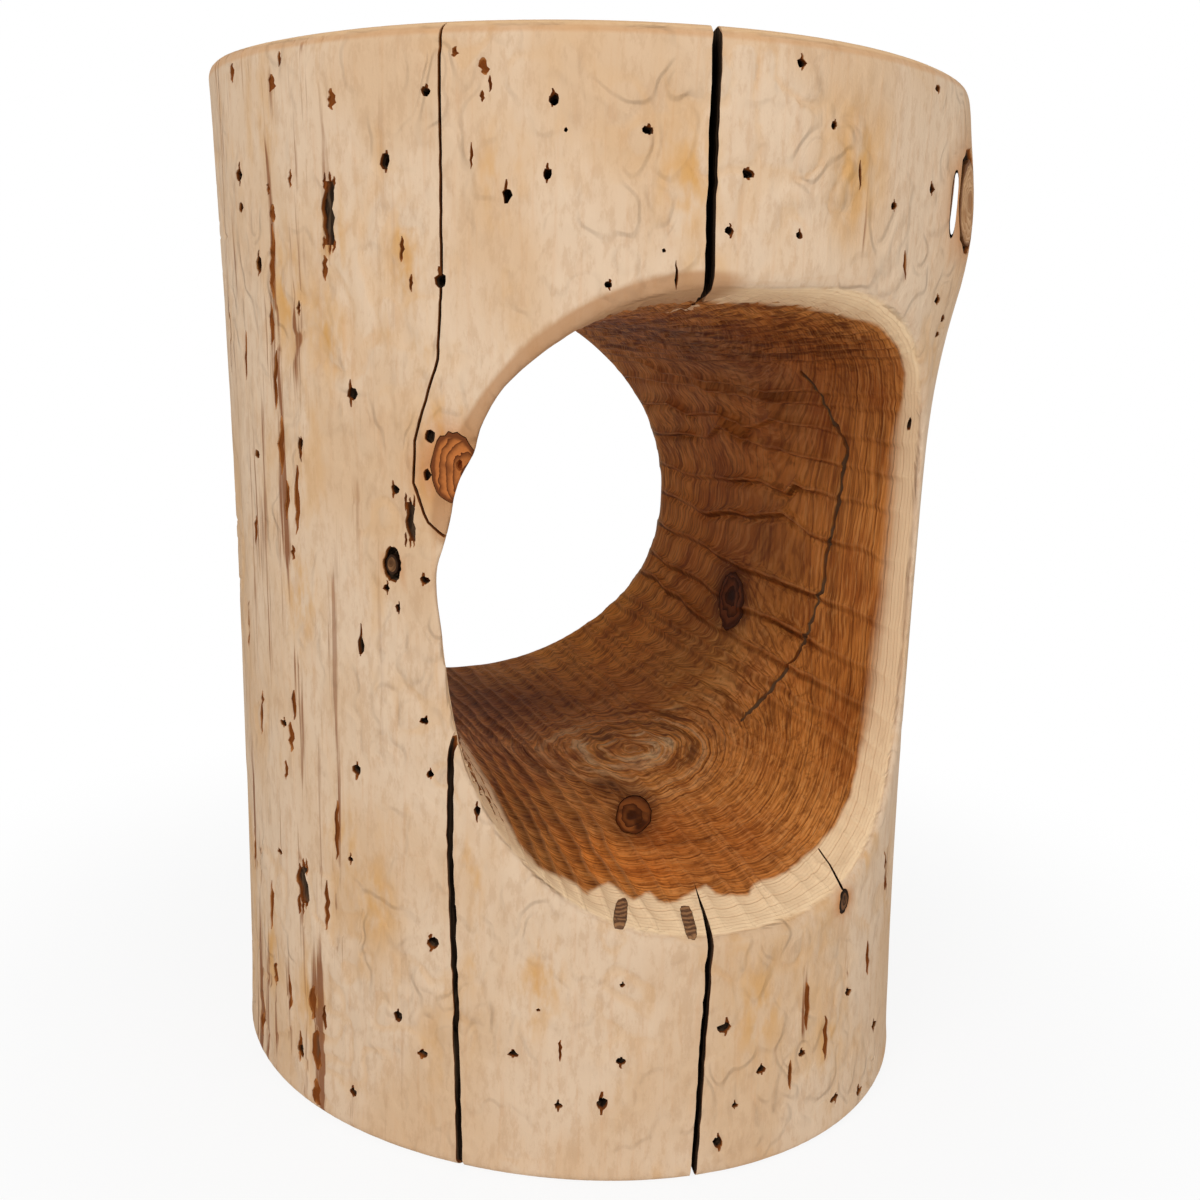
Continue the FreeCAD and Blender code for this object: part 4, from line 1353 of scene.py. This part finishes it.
# Its sapwood: stained and streaked outside, paler where it is cut, with a warmer top edge, and painted shade
# along the lip under the upper arch.
limb = wood.mark("limb")
stain = wood.times(wood.ease(wood.cloud(34.0, 4.0, (1, 1, 0.45), 0.62), 0.55, 0.72), 0.40)
smudge = wood.times(wood.mark("smudge"), wood.ease(wood.cloud(150.0, 3.0, (1, 1, 0.4)), 0.35, 0.65))
stain = wood.reckon("MAXIMUM", stain, smudge)
threads = wood.ease(wood.onto(wood.cloud(190.0, 3.0, (1, 1, 0.035), 0.6), limb, 0.20), 0.64, 0.76)
threads = wood.times(threads, wood.times(outer, wood.ease(limb, 0.05, 0.4)))
sap = wood.mix(wood.ease(wood.cloud(22.0, 3.0, (1, 1, 0.5)), 0.40, 0.62), SAP_PALE, SAP_WARM)
sap = wood.washed(sap, [
    (wood.ease(grit, 0.46, 0.64), 0.38, SAP_GRIT),
    (cut_face, 1.0, SAP_CUT),
    (late, wood.onto(0.10, cut_face, 0.34), SAP_LINE),
    (stain, outer, SAP_STAIN),
    (wood.mark("gallery"), 0.22, SAP_STAIN),
    (threads, 0.85, STREAK_BROWN),
    (wood.ease(z, *TOP_BAND), 0.42, SAP_TOP),
    (wood.ease(fibre, 0.52, 0.75), 0.16, SAP_LINE),
    (halo, 0.8, SAP_HALO),
    # Painted shade along the lip under the upper arch.
    (wood.ease(wood.mark("lip"), 0.3, 0.7), 0.8, SAP_LIP_SHADE),
])

# The two meet in short tongues. In a cut the colour turns amber and brown with depth, and then nearly black,
# which is dirt and painted shade deep in the checks and holes; dust lies in the wall check.
sapside = wood.mark("sapside")
end_side = wood.reckon("SUBTRACT", share, END_SAP_SHARE)
sapside = wood.onto(sapside, sawn, wood.reckon("SUBTRACT", end_side, sapside))
edge = wood.onto(sapside, wood.sway(110.0, 3.0, (1, 0.3, 1)), 0.016)
edge = wood.ease(wood.reckon("DIVIDE", edge, wood.mark("soft")), -1.0, 1.0)
deep = wood.mark("depth")
dust = wood.times(wood.mark("dusty"), wood.ease(deep, 0.3, 0.9))
colour = wood.mix(wood.reckon("MAXIMUM", edge, wood.ease(outer, 0.2, 0.8)), heart, sap)
colour = wood.washed(colour, [
    (wood.ease(deep, 0.12, 0.45), 1.0, wood.mix(wood.ease(fibre, 0.42, 0.60), STREAK_AMBER, STREAK_BROWN)),
    (wood.ease(deep, 0.45, 1.0), 1.0, STREAK_BROWN),
    # Dirt and painted shade deep in a cut.
    (wood.ease(deep, 1.0, 2.2), 1.0, wood.mix(wood.ease(fibre, 0.40, 0.62), DEEP_DIRT_AND_SHADE, DEEP_GREY_DIRT_AND_SHADE)),
    (dust, wood.ease(wood.cloud(45.0, 2.0), 0.62, 0.5), CHECK_DUST),
])

track = wood.reckon("ABSOLUTE", wood.sway(58.0, 1.0, (1, 1, 0.7)))
tracks = wood.times(wood.ease(track, 0.02, 0.09), wood.times(outer, wood.ease(wood.cloud(17.0), 0.48, 0.60)))
steps = wood.ease(wood.cloud(44.0, 2.0, (1, 1, 0.8)), 0.46, 0.54)
steps = wood.times(steps, wood.times(outer, wood.ease(wood.cloud(24.0), 0.38, 0.54)))
relief = 0.0
for signal, amount in (
    (fibre, 0.22), (late, wood.onto(-0.05, cut_face, -0.35)), (tracks, 1.6), (wood.times(grit, outer), 0.5),
    (steps, 1.0), (torn, -0.9), (crest_and_highlight, 1.5), (wood.cloud(900.0, 2.0), 0.08),
):
    relief = wood.onto(relief, signal, amount)
gloss = wood.onto(wood.onto(0.48, edge, 0.12), fibre, 0.10)
gloss = wood.reckon("MAXIMUM", gloss, wood.ease(deep, 0.2, 1.0))
wood.settle(colour, gloss, relief, 0.7, 0.0009)
wood.shader.inputs["Specular IOR Level"].default_value = OILED_SHINE


def finished(name, mesh, material, slot, *nodes):
    """Object of a finished piece: shaded, in its material, on the table and standing for its CAD nodes."""
    mesh.materials.clear()
    mesh.materials.append(material)
    mesh.shade_smooth()
    mesh.set_sharp_from_angle(angle=math.radians(48))
    piece = bpy.data.objects.new(name, mesh)
    bpy.context.scene.collection.objects.link(piece)
    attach(piece, "root")
    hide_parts(*nodes)
    return piece


marked(log_mesh)
finished("carved_log", log_mesh, wood.material, "log_wood", "stump_body")

# The six knots themselves, cut from the same sculpted surface so that they lie flush. Branch wood is
# darker and redder than the trunk, with its own rings about its own pith and a black bark line.
KNOT_LOOKS = {
    "branch_knot": (tint(212, 168, 124), tint(168, 118, 74), tint(120, 78, 46), 7.0, 0.90, (0.0, 0.0)),
    "lip_knot": (tint(192, 114, 58), tint(88, 42, 19), tint(112, 60, 30), 3.0, 0.88, (-0.6, -0.15)),
    "side_knot": (tint(158, 114, 76), tint(88, 57, 34), tint(54, 35, 23), 2.2, 0.72, (0.2, 0.2)),
    "wall_knot": (tint(120, 64, 28), tint(58, 28, 12), tint(80, 40, 17), 2.6, 0.92, (0.0, 0.1)),
    "floor_knot": (tint(150, 86, 40), tint(70, 34, 14), tint(96, 48, 20), 1.7, 0.93, (0.1, -0.1)),
    "pin_knot": (tint(128, 86, 54), tint(48, 32, 21), tint(40, 27, 18), 1.6, 0.75, (0.0, 0.3)),
}
for name, (center, axis, _, width, tall) in KNOTS.items():
    pale, dark, rim, count, rim_at, heart_at = KNOT_LOOKS[name]
    side, upright = crosswise(axis)
    knot = Finish(name)
    away = knot.vector("SUBTRACT", knot.place, tuple(center))
    across = knot.reckon("DIVIDE", knot.vector("DOT_PRODUCT", away, tuple(side)), width / 2)
    up = knot.reckon("DIVIDE", knot.vector("DOT_PRODUCT", away, tuple(upright)), tall / 2)
    whirl = knot.times(knot.sway(110.0, 3.0), 0.8)
    rind = knot.onto(knot.hypotenuse(across, up), whirl, 0.4)
    across = knot.reckon("SUBTRACT", across, heart_at[0])
    up = knot.reckon("SUBTRACT", up, heart_at[1])
    bent = knot.reckon("ADD", knot.hypotenuse(across, up), whirl)
    within = knot.reckon("FRACT", knot.times(bent, count))
    ringed = knot.mix(knot.reckon("POWER", within, 1.8), pale, dark)
    ringed = knot.washed(ringed, [
        (knot.ease(knot.cloud(90.0), 0.5, 0.75), 1.0, dark),
        (knot.ease(rind, rim_at - 0.06, rim_at + 0.06), 1.0, rim),
        (knot.ease(bent, 0.40, 0.12), 1.0, dark),
    ])
    relief = knot.onto(within, knot.cloud(300.0, 3.0), 0.6)
    knot.settle(ringed, knot.onto(0.42, within, 0.2), relief, 0.5, 0.0005)
    knot.shader.inputs["Specular IOR Level"].default_value = OILED_SHINE
    mesh = cut_with(sculpted_mesh, drawn_out(name, [knot_pegs[name]]), "INTERSECT")
    if name == "branch_knot":
        mesh = cut_all(mesh, [daylight_slot])
    if name == "lip_knot":
        mesh = cut_all(mesh, hole_shapes)
    finished(name + "_wood", mesh, knot.material, "knot_wood", name)

# The two plugs: galleries that a borer packed with its own dust, laid open where the lower lip was
# rounded. Short curved bands cross them where the grub backed up.
DUST_DARK = tint(108, 72, 43)
DUST_PALE = tint(160, 114, 73)
DUST_SPECK = tint(84, 54, 32)
packed = Finish("borer_dust")
waves = {"Vector": packed.place, "Scale": 120.0, "Distortion": 3.0, "Detail": 2.0, "Detail Scale": 2.0}
bands = packed.add("TexWave", waves, bands_direction="Y").outputs["Fac"]
dusted = packed.mix(packed.ease(bands, 0.2, 0.8), DUST_DARK, DUST_PALE)
dusted = packed.mix(packed.ease(packed.cloud(500.0, 3.0), 0.5, 0.75), dusted, DUST_SPECK)
relief = packed.reckon("ADD", bands, packed.cloud(700.0, 3.0))
packed.settle(dusted, packed.onto(0.8, bands, 0.1), relief, 0.7, 0.0006)
plug_mesh = cut_with(sculpted_mesh, drawn_out("plugs", plug_pegs), "INTERSECT")
finished("gallery_plugs_dust", plug_mesh, packed.material, "borer_dust", "gallery_plugs")

# The studio: a pale floor that fades into white, a large soft lamp from the upper left of the viewpoint,
# a weaker one from the right, and an even sky.
FLOOR_HALF = 4.0
FLOOR_GREY = (0.86, 0.86, 0.86, 1)
FLOOR_FADE = (0.17, 0.50)
FLOOR_NEAR_GLOW = 0.88
SKY_LEVEL = 0.37
AIM = (0, 0, 0.25)
shaper = bmesh.new()
bmesh.ops.create_grid(shaper, x_segments=1, y_segments=1, size=FLOOR_HALF)
floor_mesh = bpy.data.meshes.new("floor")
shaper.to_mesh(floor_mesh)
shaper.free()
ground = bpy.data.objects.new("floor", floor_mesh)
bpy.context.scene.collection.objects.link(ground)
ground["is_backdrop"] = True
pale_floor = Finish("pale_floor")
for socket, value in {"Base Color": FLOOR_GREY, "Roughness": 0.9, "Specular IOR Level": 0.0}.items():
    pale_floor.feed(pale_floor.shader.inputs[socket], value)
fade = pale_floor.ease(pale_floor.vector("LENGTH", pale_floor.place), *FLOOR_FADE, FLOOR_NEAR_GLOW)
glow = pale_floor.times(pale_floor.add("LightPath").outputs["Is Camera Ray"], fade)
shine = pale_floor.add("Emission").outputs[0]
both = pale_floor.add("MixShader", {0: glow, 1: pale_floor.shader.outputs[0], 2: shine}).outputs[0]
pale_floor.feed(pale_floor.tree.nodes["Material Output"].inputs["Surface"], both)
floor_mesh.materials.append(pale_floor.material)


def lamp(name, place, size, power):
    """Large soft lamp that points at the middle of the table."""
    light = bpy.data.lights.new(name, "AREA")
    light.shape = "DISK"
    light.size = size
    light.energy = power
    thing = bpy.data.objects.new(name, light)
    bpy.context.scene.collection.objects.link(thing)
    way = Vector(AIM) - Vector(place)
    thing.matrix_world = Matrix.Translation(place) @ way.to_track_quat("-Z", "Y").to_matrix().to_4x4()


lamp("key", (-1.42, -1.20, 1.30), 1.3, 19.5)
lamp("fill", (0.9, -1.8, 0.9), 1.5, 11.5)
world = bpy.data.worlds.new("sky")
bpy.context.scene.world = world
world.use_nodes = True
tree = world.node_tree
path = tree.nodes.new("ShaderNodeLightPath")
clear = tree.nodes.new("ShaderNodeMath")
clear.operation = "MAXIMUM"
level = tree.nodes.new("ShaderNodeMath")
level.operation = "MAXIMUM"
level.inputs[1].default_value = SKY_LEVEL
sky = tree.nodes["Background"]
sky.inputs["Color"].default_value = (1, 1, 1, 1)
tree.links.new(path.outputs["Is Camera Ray"], clear.inputs[0])
tree.links.new(path.outputs["Is Transmission Ray"], clear.inputs[1])
tree.links.new(clear.outputs[0], level.inputs[0])
tree.links.new(level.outputs[0], sky.inputs["Strength"])
bpy.context.scene.view_settings.view_transform = "Standard"

sizes = {"cad": [list(corner) for corner in cad_box], "visual": [list(corner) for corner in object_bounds()]}
